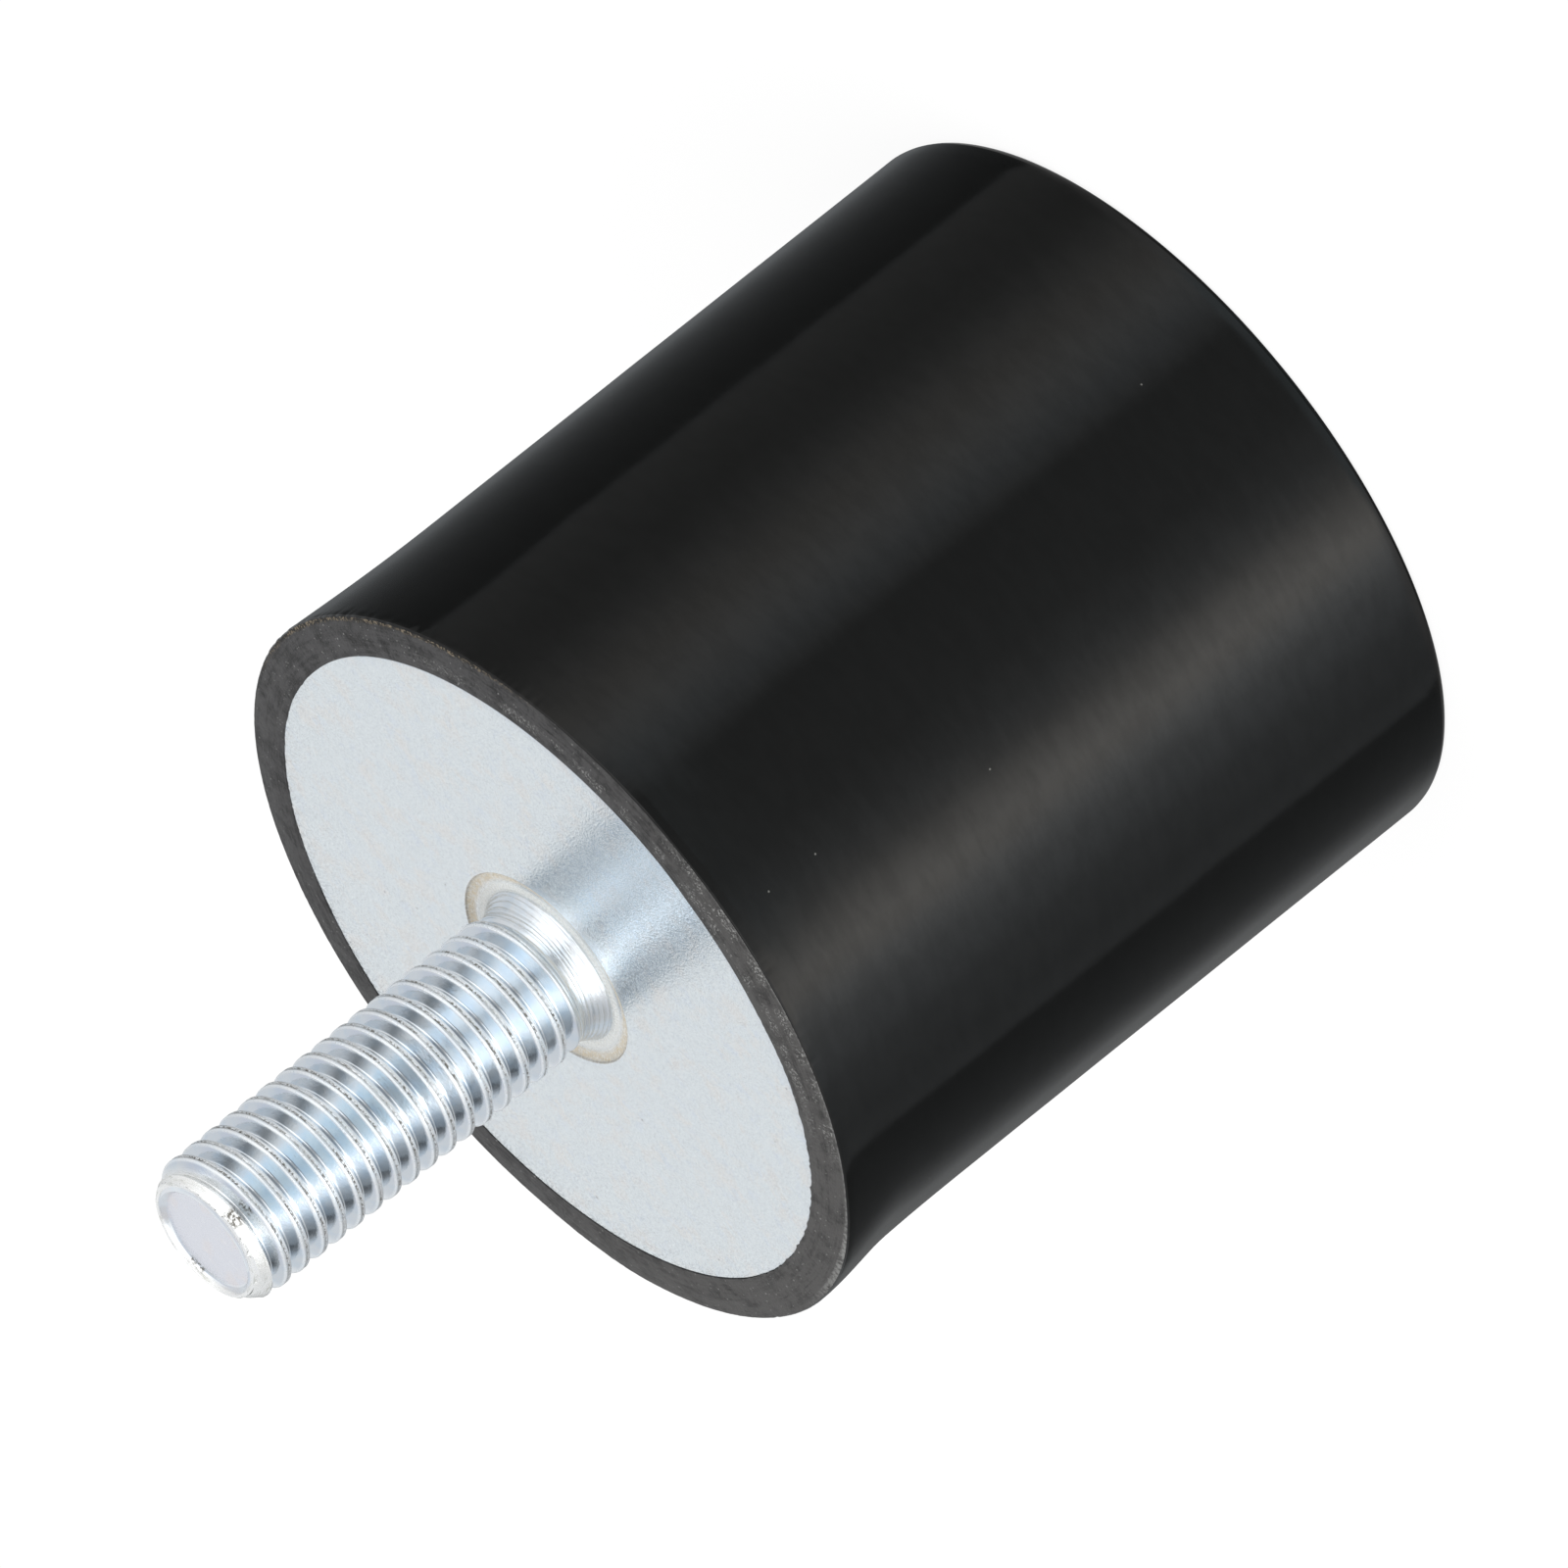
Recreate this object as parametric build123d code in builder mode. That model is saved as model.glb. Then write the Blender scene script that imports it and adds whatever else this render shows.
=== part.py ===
"""Cylindrical rubber buffer with a bonded steel end plate and one threaded stud.

Millimetres, +Z up. The origin is the centre of the flat free face of the rubber, on which the buffer
stands, and the stud points up. All three pieces are turned about Z, so each one is half a section,
drawn with the radius across and the height up, and revolved.
"""

import os

from build123d import *

# Rubber body
buffer_diameter = 50.0  # across the rim that wraps the plate, the widest place
buffer_height = 50.3  # free rubber face to the outer face of the plate
rim_wall = 2.68  # rubber round the edge of the plate
rim_slope = 0.15  # how far the rim's face falls from the plate to the outside
rim_edge = 0.15  # rounding of the rim's outer edge
flare = 0.35  # how far the rubber stands out at the rim past its plain side
flare_height = 10.0  # length over which the flare dies out
flare_hold = 3.0  # pull of the curve at each end of the flare
free_edge = 0.5  # rounding of the edge round the free face

# End plate
plate_thickness = 3.0
plate_edge = 0.15  # bevel round the outer face of the plate
recess_width = 1.55  # flat and cove together, from the stud's foot to the recess's outer edge
recess_cove = 0.65  # width of the curved wall at the outer edge of the recess
recess_depth = 0.3

# Stud, M10 x 1.5 with the crests as the rolling left them
stud_diameter = 9.8
stud_length = 28.0  # from the outer face of the plate to the tip
runout_length = 2.4  # from the outer face of the plate to the first full crest
tip_chamfer_radial = 0.85
tip_chamfer_length = 1.3
tip_land = 0.12  # width of the flat lip round the hollow in the tip
hollow_wall = 0.5  # width of the sloping wall of the hollow
hollow_depth = 0.35
neck_relief = 0.3  # how far the neck lies inside the crests
foot_spread = 0.4  # how far the foot stands out past the crests
foot_lip = 0.12  # straight edge of the foot where it meets the recess
shoulder_spread = 0.15  # how far the shoulder in the plate stands out past the crests
head_spread = 4.0  # how far the head behind the plate stands out past the crests
head_thickness = 2.5
head_edge = 0.4  # rounding of the head's back edge

# Radii and heights that follow from the sizes above
rim_radius = buffer_diameter / 2
side_radius = rim_radius - flare
plate_radius = rim_radius - rim_wall
stud_radius = stud_diameter / 2
neck_radius = stud_radius - neck_relief
foot_radius = stud_radius + foot_spread
shoulder_radius = stud_radius + shoulder_spread
head_radius = stud_radius + head_spread
recess_radius = foot_radius + recess_width
tip_radius = stud_radius - tip_chamfer_radial
hollow_radius = tip_radius - tip_land

plate_face = buffer_height
plate_back = plate_face - plate_thickness
head_back = plate_back - head_thickness
rim_inner_height = plate_face - plate_edge
rim_outer_height = rim_inner_height - rim_slope
flare_start = rim_outer_height - flare_height
recess_floor = plate_face - recess_depth
foot_top = recess_floor + foot_lip
neck_start = foot_top + foot_radius - neck_radius
thread_start = plate_face + runout_length
neck_end = thread_start - neck_relief
stud_tip = plate_face + stud_length
thread_end = stud_tip - tip_chamfer_length
hollow_floor = stud_tip - hollow_depth

os.makedirs("parts", exist_ok=True)


# Rubber body: one moulding with a pocket for the plate and a smaller one behind it for the stud's head
with BuildPart() as rubber_body:
    with BuildSketch(Plane.XZ) as rubber_section:
        with BuildLine() as rubber_outline:
            Polyline((0, head_back), (0, 0), (side_radius, 0), (side_radius, flare_start))
            Bezier(
                (side_radius, flare_start),
                (side_radius, rim_outer_height - flare_hold),
                (rim_radius, rim_outer_height - flare_hold),
                (rim_radius, rim_outer_height),
            )
            Polyline(
                (rim_radius, rim_outer_height),
                (plate_radius, rim_inner_height),
                (plate_radius, plate_back),
                (head_radius, plate_back),
                (head_radius, head_back + head_edge),
            )
            RadiusArc(
                (head_radius, head_back + head_edge),
                (head_radius - head_edge, head_back),
                head_edge,
            )
            Line((head_radius - head_edge, head_back), (0, head_back))
        make_face()
    revolve(axis=Axis.Z)
    rounded = rubber_body.edges().filter_by(GeomType.CIRCLE)
    free_rim = rounded.filter_by_position(Axis.Z, 0, 0)
    outer_rim = rounded.filter_by_position(Axis.Z, rim_outer_height, rim_outer_height)
    fillet(free_rim, free_edge)
    fillet(outer_rim, rim_edge)
rubber_body.part.label = "rubber_body"
export_step(rubber_body.part, "parts/rubber_body.step")


# End plate: a stamped disc with a hole for the stud's shoulder and a shallow coved recess round it
with BuildPart() as end_plate:
    with BuildSketch(Plane.XZ) as plate_section:
        with BuildLine() as plate_outline:
            Polyline(
                (recess_radius, plate_face),
                (plate_radius - plate_edge, plate_face),
                (plate_radius, rim_inner_height),
                (plate_radius, plate_back),
                (shoulder_radius, plate_back),
                (shoulder_radius, recess_floor),
                (recess_radius - recess_cove, recess_floor),
            )
            TangentArc(
                (recess_radius - recess_cove, recess_floor),
                (recess_radius, plate_face),
                tangent=(1, 0),
            )
        make_face()
    revolve(axis=Axis.Z)
end_plate.part.label = "end_plate"
export_step(end_plate.part, "parts/end_plate.step")


# Stud: head, shoulder in the plate, coved foot, neck, shank at the size of the crests, hollowed tip
with BuildPart() as threaded_stud:
    with BuildSketch(Plane.XZ) as stud_section:
        with BuildLine() as stud_outline:
            Line((0, head_back), (head_radius - head_edge, head_back))
            RadiusArc(
                (head_radius - head_edge, head_back),
                (head_radius, head_back + head_edge),
                -head_edge,
            )
            Polyline(
                (head_radius, head_back + head_edge),
                (head_radius, plate_back),
                (shoulder_radius, plate_back),
                (shoulder_radius, recess_floor),
                (foot_radius, recess_floor),
                (foot_radius, foot_top),
            )
            TangentArc((foot_radius, foot_top), (neck_radius, neck_start), tangent=(-1, 0))
            Polyline(
                (neck_radius, neck_start),
                (neck_radius, neck_end),
                (stud_radius, thread_start),
                (stud_radius, thread_end),
                (tip_radius, stud_tip),
                (hollow_radius, stud_tip),
                (hollow_radius - hollow_wall, hollow_floor),
                (0, hollow_floor),
                (0, head_back),
            )
        make_face()
    revolve(axis=Axis.Z)
threaded_stud.part.label = "threaded_stud"
export_step(threaded_stud.part, "parts/threaded_stud.step")
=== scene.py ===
"""Rubber buffer with one threaded stud: its dressed pieces, their finishes, the studio and the camera.

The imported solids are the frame. Each of the three is replaced, in its own place, by a finer mesh: the moulded
rubber body with its trimmed rim, the zinc plated end plate let into it, and the stud with its rolled thread.
Sizes are in millimetres and angles in degrees. +Z runs from the free rubber face to the tip of the stud, and
angles round the axis are counted from +X towards +Y.
"""

import logging
import math
from dataclasses import dataclass
from enum import IntEnum
from functools import partial, reduce
from typing import Any

import bmesh
import bpy
from mathutils import Matrix, Vector, noise
from mathutils.geometry import interpolate_bezier


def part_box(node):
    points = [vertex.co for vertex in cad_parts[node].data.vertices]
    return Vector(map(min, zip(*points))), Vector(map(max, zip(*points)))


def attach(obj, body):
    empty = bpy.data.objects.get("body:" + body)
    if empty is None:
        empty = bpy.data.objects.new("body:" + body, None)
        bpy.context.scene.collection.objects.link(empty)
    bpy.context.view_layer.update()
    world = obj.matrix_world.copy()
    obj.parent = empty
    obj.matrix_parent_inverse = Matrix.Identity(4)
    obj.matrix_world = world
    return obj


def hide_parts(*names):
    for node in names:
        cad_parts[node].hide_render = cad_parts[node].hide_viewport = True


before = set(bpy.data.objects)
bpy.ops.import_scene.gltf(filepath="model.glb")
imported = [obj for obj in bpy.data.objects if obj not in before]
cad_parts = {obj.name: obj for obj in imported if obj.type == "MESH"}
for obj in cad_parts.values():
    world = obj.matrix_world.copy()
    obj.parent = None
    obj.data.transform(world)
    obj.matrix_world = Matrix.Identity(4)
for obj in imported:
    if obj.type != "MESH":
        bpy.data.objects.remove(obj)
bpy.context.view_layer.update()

Colour = tuple[float, float, float]
Point = tuple[float, float]
Span = tuple[float, float]
Ramp = tuple[float, ...]
Stops = tuple[tuple[float, float], ...]
Socket = bpy.types.NodeSocket
Term = float | Socket

MM = 0.001
FULL_TURN = 360.0
HALF_TURN = 180.0
WEDGES = 12  # equal parts that a turned shell is copied together from
QUARTER_PULL = 0.5523  # how far the handles of a rounded corner reach towards its sharp corner
PATCH_CORE = 0.55  # part of a patch's spread in which it is at its strongest
SPECK_CORE = 0.6  # part of a speck's radius at which its soft edge ends
SHELL_MERGE = 1e-4  # points of a finished shell that are nearer than this are one
THREAD_MERGE = 1e-3  # the same for the turns of the thread, which are wound one by one
END_GAP = 0.02  # how far the points of an open end may lie off its height
POLE_RADIUS = 0.02  # radius of the last ring before a surface closes on the axis
WHITE: Colour = (1.0, 1.0, 1.0)

log = logging.getLogger("rubber_buffer")


def fade(value: float, start: float, end: float) -> float:
    """Smooth step that is 0 at the start and 1 at the end, whichever of the two is larger."""
    share = min(1.0, max(0.0, (value - start) / (end - start)))
    return share * share * (3.0 - 2.0 * share)


def angle_of(place: Vector) -> float:
    """Angle of a place round the axis, from 0 to 360."""
    return math.degrees(math.atan2(place.y, place.x)) % FULL_TURN


def angle_between(first: float, second: float) -> float:
    """Angle between two angles round the axis, from 0 to 180."""
    return abs((first - second + HALF_TURN) % FULL_TURN - HALF_TURN)


def across(place: Vector) -> float:
    """Distance of a place from the axis."""
    return math.hypot(place.x, place.y)


def set_across(place: Vector, radius: float) -> None:
    """Move a place straight out from the axis, or in.

    Args:
        place: The place, which is changed.
        radius: Its new distance from the axis.
    """
    share = radius / max(across(place), 1e-9)
    place.x *= share
    place.y *= share


def node_span(node: str) -> tuple[float, float, float]:
    """Largest radius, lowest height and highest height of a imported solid."""
    low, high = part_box(node)
    return high.x / MM, low.z / MM, high.z / MM


@dataclass(frozen=True)
class Patch:
    """A stretch of a ring on which something shows, strongest at its centre."""

    centre: float
    spread: float
    amount: float = 1.0

    def at(self, angle: float) -> float:
        """Amount at an angle round the axis, fading to nothing at both ends of the stretch."""
        off = angle_between(angle, self.centre)
        return self.amount * fade(off, self.spread, self.spread * PATCH_CORE)


class HalfSection:
    """Half a section in the XZ plane, drawn from point to point and then turned about Z."""

    def __init__(self, radius: float, height: float, tag: int = 0) -> None:
        """Start the section.

        Args:
            radius: Distance of its first point from the axis.
            height: Height of its first point.
            tag: Stretch of the section that the point belongs to.
        """
        self.mesh = bmesh.new()
        self.tags = self.mesh.verts.layers.int.new("stretch")
        self.last = self._point(radius, height, tag)

    def _point(self, radius: float, height: float, tag: int) -> bmesh.types.BMVert:
        """Add one point of the section.

        Args:
            radius: Its distance from the axis.
            height: Its height.
            tag: Stretch that it belongs to.

        Returns:
            The point.
        """
        made = self.mesh.verts.new((radius, 0.0, height))
        made[self.tags] = tag
        return made

    def _join(self, radius: float, height: float, tag: int) -> None:
        """Add a point and the edge that leads to it.

        Args:
            radius: The point's distance from the axis.
            height: Its height.
            tag: Stretch that it belongs to.
        """
        made = self._point(radius, height, tag)
        self.mesh.edges.new((self.last, made))
        self.last = made

    def line(self, radius: float, height: float, parts: int = 1, tag: int = 0) -> None:
        """Draw a straight stretch to a point.

        Args:
            radius: Distance of its end from the axis.
            height: Height of its end.
            parts: Number of equal edges.
            tag: Stretch that its points belong to.
        """
        start, end = self.last.co.copy(), Vector((radius, 0.0, height))
        for part in range(1, parts + 1):
            place = start.lerp(end, part / parts)
            self._join(place.x, place.z, tag)

    def bend(self, pulls: list[Point], radius: float, height: float, parts: int, tag: int = 0) -> None:
        """Draw a curve to a point.

        Args:
            pulls: The two handles of the curve, as radius and height.
            radius: Distance of its end from the axis.
            height: Height of its end.
            parts: Number of edges.
            tag: Stretch that its points belong to.
        """
        first, second = (Vector((out, 0.0, up)) for out, up in pulls)
        end = Vector((radius, 0.0, height))
        for place in interpolate_bezier(self.last.co, first, second, end, parts + 1)[1:]:
            self._join(place.x, place.z, tag)

    def round(self, corner: Point, radius: float, height: float, parts: int = 4, tag: int = 0) -> None:
        """Draw a rounded corner to a point.

        Args:
            corner: Radius and height of the sharp corner that is rounded off.
            radius: Distance of its end from the axis.
            height: Height of its end.
            parts: Number of edges.
            tag: Stretch that its points belong to.
        """
        sharp = Vector((corner[0], 0.0, corner[1]))
        first = self.last.co.lerp(sharp, QUARTER_PULL)
        second = Vector((radius, 0.0, height)).lerp(sharp, QUARTER_PULL)
        self.bend([(first.x, first.z), (second.x, second.z)], radius, height, parts, tag)

    def turn(self, steps: int) -> bmesh.types.BMesh:
        """Turn the section once round the axis.

        Args:
            steps: Number of steps in the turn, a multiple of the number of wedges.

        Returns:
            The closed shell, with its faces pointing outwards.
        """
        wind(self.mesh, math.tau / WEDGES, steps // WEDGES)
        wind(self.mesh, math.tau * (WEDGES - 1) / WEDGES, WEDGES - 1, copies=True)
        close_up(self.mesh)
        return self.mesh


def wind(mesh: bmesh.types.BMesh, angle: float, steps: int, rise: float = 0.0, copies: bool = False) -> None:
    """Turn everything in a mesh about Z.

    Args:
        mesh: A mesh that holds only what is turned.
        angle: Angle of the whole turn, in radians.
        steps: Number of steps in the turn.
        rise: How far each step climbs.
        copies: Whether each step leaves a copy, instead of faces along the way.
    """
    everything = list(mesh.verts) + list(mesh.edges) + list(mesh.faces)
    bmesh.ops.spin(
        mesh, geom=everything, cent=(0, 0, 0), axis=(0, 0, 1), dvec=(0, 0, rise),
        angle=angle, steps=steps, use_merge=False, use_duplicate=copies,
    )


def close_up(mesh: bmesh.types.BMesh) -> None:
    """Merge the points that coincide and point all faces outwards."""
    bmesh.ops.remove_doubles(mesh, verts=mesh.verts, dist=SHELL_MERGE)
    bmesh.ops.recalc_face_normals(mesh, faces=mesh.faces)


def piece_from(mesh: bmesh.types.BMesh, name: str, node: str, sharp: float) -> bpy.types.Object:
    """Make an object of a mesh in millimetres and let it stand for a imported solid.

    Args:
        mesh: The finished mesh, which is used up.
        name: Name of the piece.
        node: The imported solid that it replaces.
        sharp: Edges that turn by more than this angle stay sharp.

    Returns:
        The object, which rides on the only body.
    """
    bmesh.ops.scale(mesh, vec=(MM, MM, MM), verts=mesh.verts)
    data = bpy.data.meshes.new(name)
    mesh.to_mesh(data)
    mesh.free()
    data.shade_smooth()
    data.set_sharp_from_angle(angle=math.radians(sharp))
    made = bpy.data.objects.new(name, data)
    bpy.context.scene.collection.objects.link(made)
    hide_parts(node)
    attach(made, "root")
    return made


class NodeSheet:
    """A node tree written as short calls, each of which adds a node and gives its output."""

    def __init__(self, tree: bpy.types.NodeTree) -> None:
        """Empty a node tree and keep it for the calls."""
        self.tree = tree
        tree.nodes.clear()

    def node(self, kind: str, inputs: dict[str | int, Any] | None = None, **settings: Any) -> bpy.types.Node:
        """Add a node.

        Args:
            kind: Name of the node's type without its common start.
            inputs: Values and sockets for its inputs, by name or number.
            settings: The node's own settings.

        Returns:
            The node.
        """
        made = self.tree.nodes.new("ShaderNode" + kind)
        for name, value in settings.items():
            setattr(made, name, value)
        for key, value in (inputs or {}).items():
            self._feed(made.inputs[key], value)
        return made

    def _feed(self, entry: Socket, value: Any) -> None:
        """Link a socket to an input, or set the input to a value. A colour may have three parts.

        Args:
            entry: The input.
            value: The socket or the value.
        """
        if isinstance(value, Socket):
            self.tree.links.new(value, entry)
        elif entry.type == "RGBA" and len(value) == 3:
            entry.default_value = (*value, 1.0)
        else:
            entry.default_value = value

    def math(self, operation: str, *terms: Term) -> Socket:
        """Result of one mathematical operation."""
        return self.node("Math", dict(enumerate(terms)), operation=operation).outputs[0]

    def add(self, *terms: Term) -> Socket:
        """Sum of all terms."""
        return reduce(partial(self.math, "ADD"), terms)

    def times(self, *terms: Term) -> Socket:
        """Product of all terms."""
        return reduce(partial(self.math, "MULTIPLY"), terms)

    def step(self, value: Term, start: float, end: float, low: float = 0.0, high: float = 1.0) -> Socket:
        """Smooth step from a low to a high result.

        Args:
            value: What is tested.
            start: Value at which the result is low.
            end: Value at which the result is high.
            low: The low result.
            high: The high result.

        Returns:
            The result's socket.
        """
        inputs = {"Value": value, "From Min": start, "From Max": end, "To Min": low, "To Max": high}
        return self.node("MapRange", inputs, interpolation_type="SMOOTHSTEP").outputs[0]

    def band(self, value: Term, centre: float, half: float, soft: float) -> Socket:
        """Mask that is 1 within half a width of a centre and falls to 0 over a soft edge."""
        off = self.math("ABSOLUTE", self.math("SUBTRACT", value, centre))
        return self.step(off, half + soft, half)

    def levels(self, value: Socket, stops: Stops) -> Socket:
        """Level that runs straight from stop to stop.

        Args:
            value: What is tested.
            stops: Up to 32 pairs of a value and its level, in rising order.

        Returns:
            The level's socket.
        """
        first, last, peak = stops[0][0], stops[-1][0], max(level for _, level in stops)
        inputs = {"Value": value, "From Min": first, "From Max": last}
        made = self.node("ValToRGB", {"Fac": self.node("MapRange", inputs).outputs[0]})
        elements = made.color_ramp.elements
        while len(elements) < len(stops):
            elements.new(0.5)
        for element, (place, level) in zip(elements, stops):
            element.position = (place - first) / (last - first)
            share = level / peak
            element.color = (share, share, share, 1.0)
        return self.times(made.outputs[0], peak)

    def lit(self, colour: Colour | Socket, strength: Socket) -> Socket:
        """A colour made brighter or darker."""
        return self.node("VectorMath", {0: colour, 3: strength}, operation="SCALE").outputs[0]

    def blend(self, share: Term, first: Colour | Socket, second: Colour | Socket) -> Socket:
        """Mix of two colours, with the second one at a share of 1."""
        return self.node("Mix", {0: share, 6: first, 7: second}, data_type="RGBA").outputs[2]

    def coats(self, base: Colour | Socket, *coats: tuple[Term, Colour]) -> Socket:
        """Colour under a number of coats.

        Args:
            base: The colour below them all.
            coats: Share and colour of each coat, in the order in which they are laid on.

        Returns:
            The colour's socket.
        """
        for share, colour in coats:
            base = self.blend(share, base, colour)
        return base


@dataclass(frozen=True)
class Cloud:
    """Cloudy noise, with so many features to the millimetre.

    The stretch scales each axis besides. The turn about Z comes after it and picks another part of the noise.
    """

    scale: float
    detail: float = 3.0
    rough: float = 0.55
    stretch: tuple[float, float, float] | None = None
    turn: float = 0.0


@dataclass(frozen=True)
class Specks:
    """Scattered round specks: cells to the millimetre, a speck's radius in cells, share of cells with one."""

    scale: float
    size: float
    share: float


class Surface(NodeSheet):
    """Node tree of one material, with the place on the object in millimetres at hand."""

    def __init__(self, name: str) -> None:
        """Start a material and find the place, the distance from the axis and the angle round it.

        Args:
            name: Name of the material.
        """
        self.material = bpy.data.materials.new(name)
        self.material.use_nodes = True
        super().__init__(self.material.node_tree)
        coordinates = self.node("TexCoord").outputs["Object"]
        self.place = self.node("VectorMath", {0: coordinates, 3: 1.0 / MM}, operation="SCALE").outputs[0]
        x, y, self.height = self.node("SeparateXYZ", {0: self.place}).outputs
        self.radius = self.math("SQRT", self.add(self.times(x, x), self.times(y, y)))
        self.angle = self.math("DEGREES", self.math("ARCTAN2", y, x))

    def unrolled(self, *scales: float) -> Socket:
        """Radius, angle and, with three scales, height as a place, for a pattern that runs round the axis."""
        parts = zip((self.radius, self.angle, self.height), scales)
        return self.node("CombineXYZ", dict(enumerate(self.times(*part) for part in parts))).outputs[0]

    def patch(self, patch: Patch) -> Socket:
        """Amount of a patch at the angle of the place."""
        off = self.math("PINGPONG", self.math("SUBTRACT", self.angle, patch.centre), HALF_TURN)
        return self.step(off, patch.spread, patch.spread * PATCH_CORE, 0.0, patch.amount)

    def cloud(self, cloud: Cloud, place: Socket | None = None) -> Socket:
        """Noise between 0 and 1.

        Args:
            cloud: The noise.
            place: Where it is read, if that isn't the place on the object.

        Returns:
            The noise's socket.
        """
        place = self.place if place is None else place
        if cloud.stretch:
            turn = (0.0, 0.0, math.radians(cloud.turn))
            inputs = {"Vector": place, "Scale": cloud.stretch, "Rotation": turn}
            place = self.node("Mapping", inputs, vector_type="POINT").outputs[0]
        inputs = {"Vector": place, "Scale": cloud.scale, "Detail": cloud.detail, "Roughness": cloud.rough}
        return self.node("TexNoise", inputs).outputs[0]

    def blots(self, cloud: Cloud, start: float, end: float, low: float = 0.0, high: float = 1.0) -> Socket:
        """Noise pulled apart into blots by a smooth step, with the step's values as in that call."""
        return self.step(self.cloud(cloud), start, end, low, high)

    def specks(self, specks: Specks) -> Socket:
        """Mask that is 1 inside the specks.

        Args:
            specks: The specks.

        Returns:
            The mask's socket.
        """
        cells = self.node("TexVoronoi", {"Vector": self.place, "Scale": specks.scale})
        spot = self.step(cells.outputs["Distance"], specks.size, specks.size * SPECK_CORE)
        pick = self.node("SeparateColor", {0: cells.outputs["Color"]}).outputs[0]
        return self.times(spot, self.math("LESS_THAN", pick, specks.share))

    def relief(self, *layers: tuple[Socket, float]) -> Socket | None:
        """Normal of a surface with several reliefs on it.

        Args:
            layers: Height of each relief, from 0 to 1, and what a height of 1 measures in millimetres.

        Returns:
            The normal's socket, or nothing without layers.
        """
        normal = None
        for height, depth in layers:
            under = {} if normal is None else {"Normal": normal}
            inputs = {"Height": height, "Distance": depth * MM, "Strength": 1.0, **under}
            normal = self.node("Bump", inputs).outputs[0]
        return normal

    def dress(self, inputs: dict[str | int, Any]) -> bpy.types.Material:
        """Finish the material with one principled shader.

        Args:
            inputs: Values and sockets of the shader, by name.

        Returns:
            The material.
        """
        shader = self.node("BsdfPrincipled", inputs)
        self.node("OutputMaterial", {"Surface": shader.outputs[0]})
        return self.material


@dataclass(frozen=True)
class MouldedRubber:
    """Satin black rubber as it leaves the mould: flow marks, hair lines round the body and some dust."""

    colour: Colour = (0.0050, 0.0052, 0.0050)
    dusty: Colour = (0.16, 0.16, 0.15)
    shine: float = 0.25
    mottle: float = 0.018  # how far the shine varies either way
    gloss: Span = (0.09, 0.118)  # lowest and highest roughness
    hair_gloss: float = 0.03
    dust_gloss: float = 0.6
    flow_depth: float = 0.010
    hair_depth: float = 0.0006
    dust_depth: float = 0.02
    flow: Cloud = Cloud(1.0, 4.0, 0.6, (0.16, 0.16, 0.10))
    smear: Cloud = Cloud(1.0, 5.0, 0.65, (0.5, 0.5, 1.6))
    hairs: Cloud = Cloud(1.0, 3.0, 0.6, (0.45, 0.45, 9.0))
    rubbed: Cloud = Cloud(1.0, 6.0, 0.7, (0.35, 0.35, 0.9), 20.0)  # patches where the shine differs
    dust: Specks = Specks(0.42, 0.035, 0.16)

    def material(self) -> bpy.types.Material:
        """Make the material.

        Returns:
            The material.
        """
        sheet = Surface("moulded_rubber")
        flow, hairs, dust = sheet.cloud(self.flow), sheet.cloud(self.hairs), sheet.specks(self.dust)
        patchy = sheet.times(sheet.step(flow, 0.40, 0.60), sheet.blots(self.smear, 0.35, 0.65))
        gloss = sheet.add(
            sheet.step(patchy, 0.0, 1.0, *self.gloss), sheet.step(hairs, 0.55, 0.8, 0.0, self.hair_gloss)
        )
        dullest, brightest = self.shine - self.mottle, self.shine + self.mottle
        normal = sheet.relief((flow, self.flow_depth), (hairs, self.hair_depth), (dust, self.dust_depth))
        return sheet.dress({
            "Base Color": sheet.blend(dust, self.colour, self.dusty),
            "Roughness": sheet.math("MAXIMUM", gloss, sheet.times(dust, self.dust_gloss)),
            "Specular IOR Level": sheet.blots(self.rubbed, 0.36, 0.64, dullest, brightest),
            "Normal": normal,
        })


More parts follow.
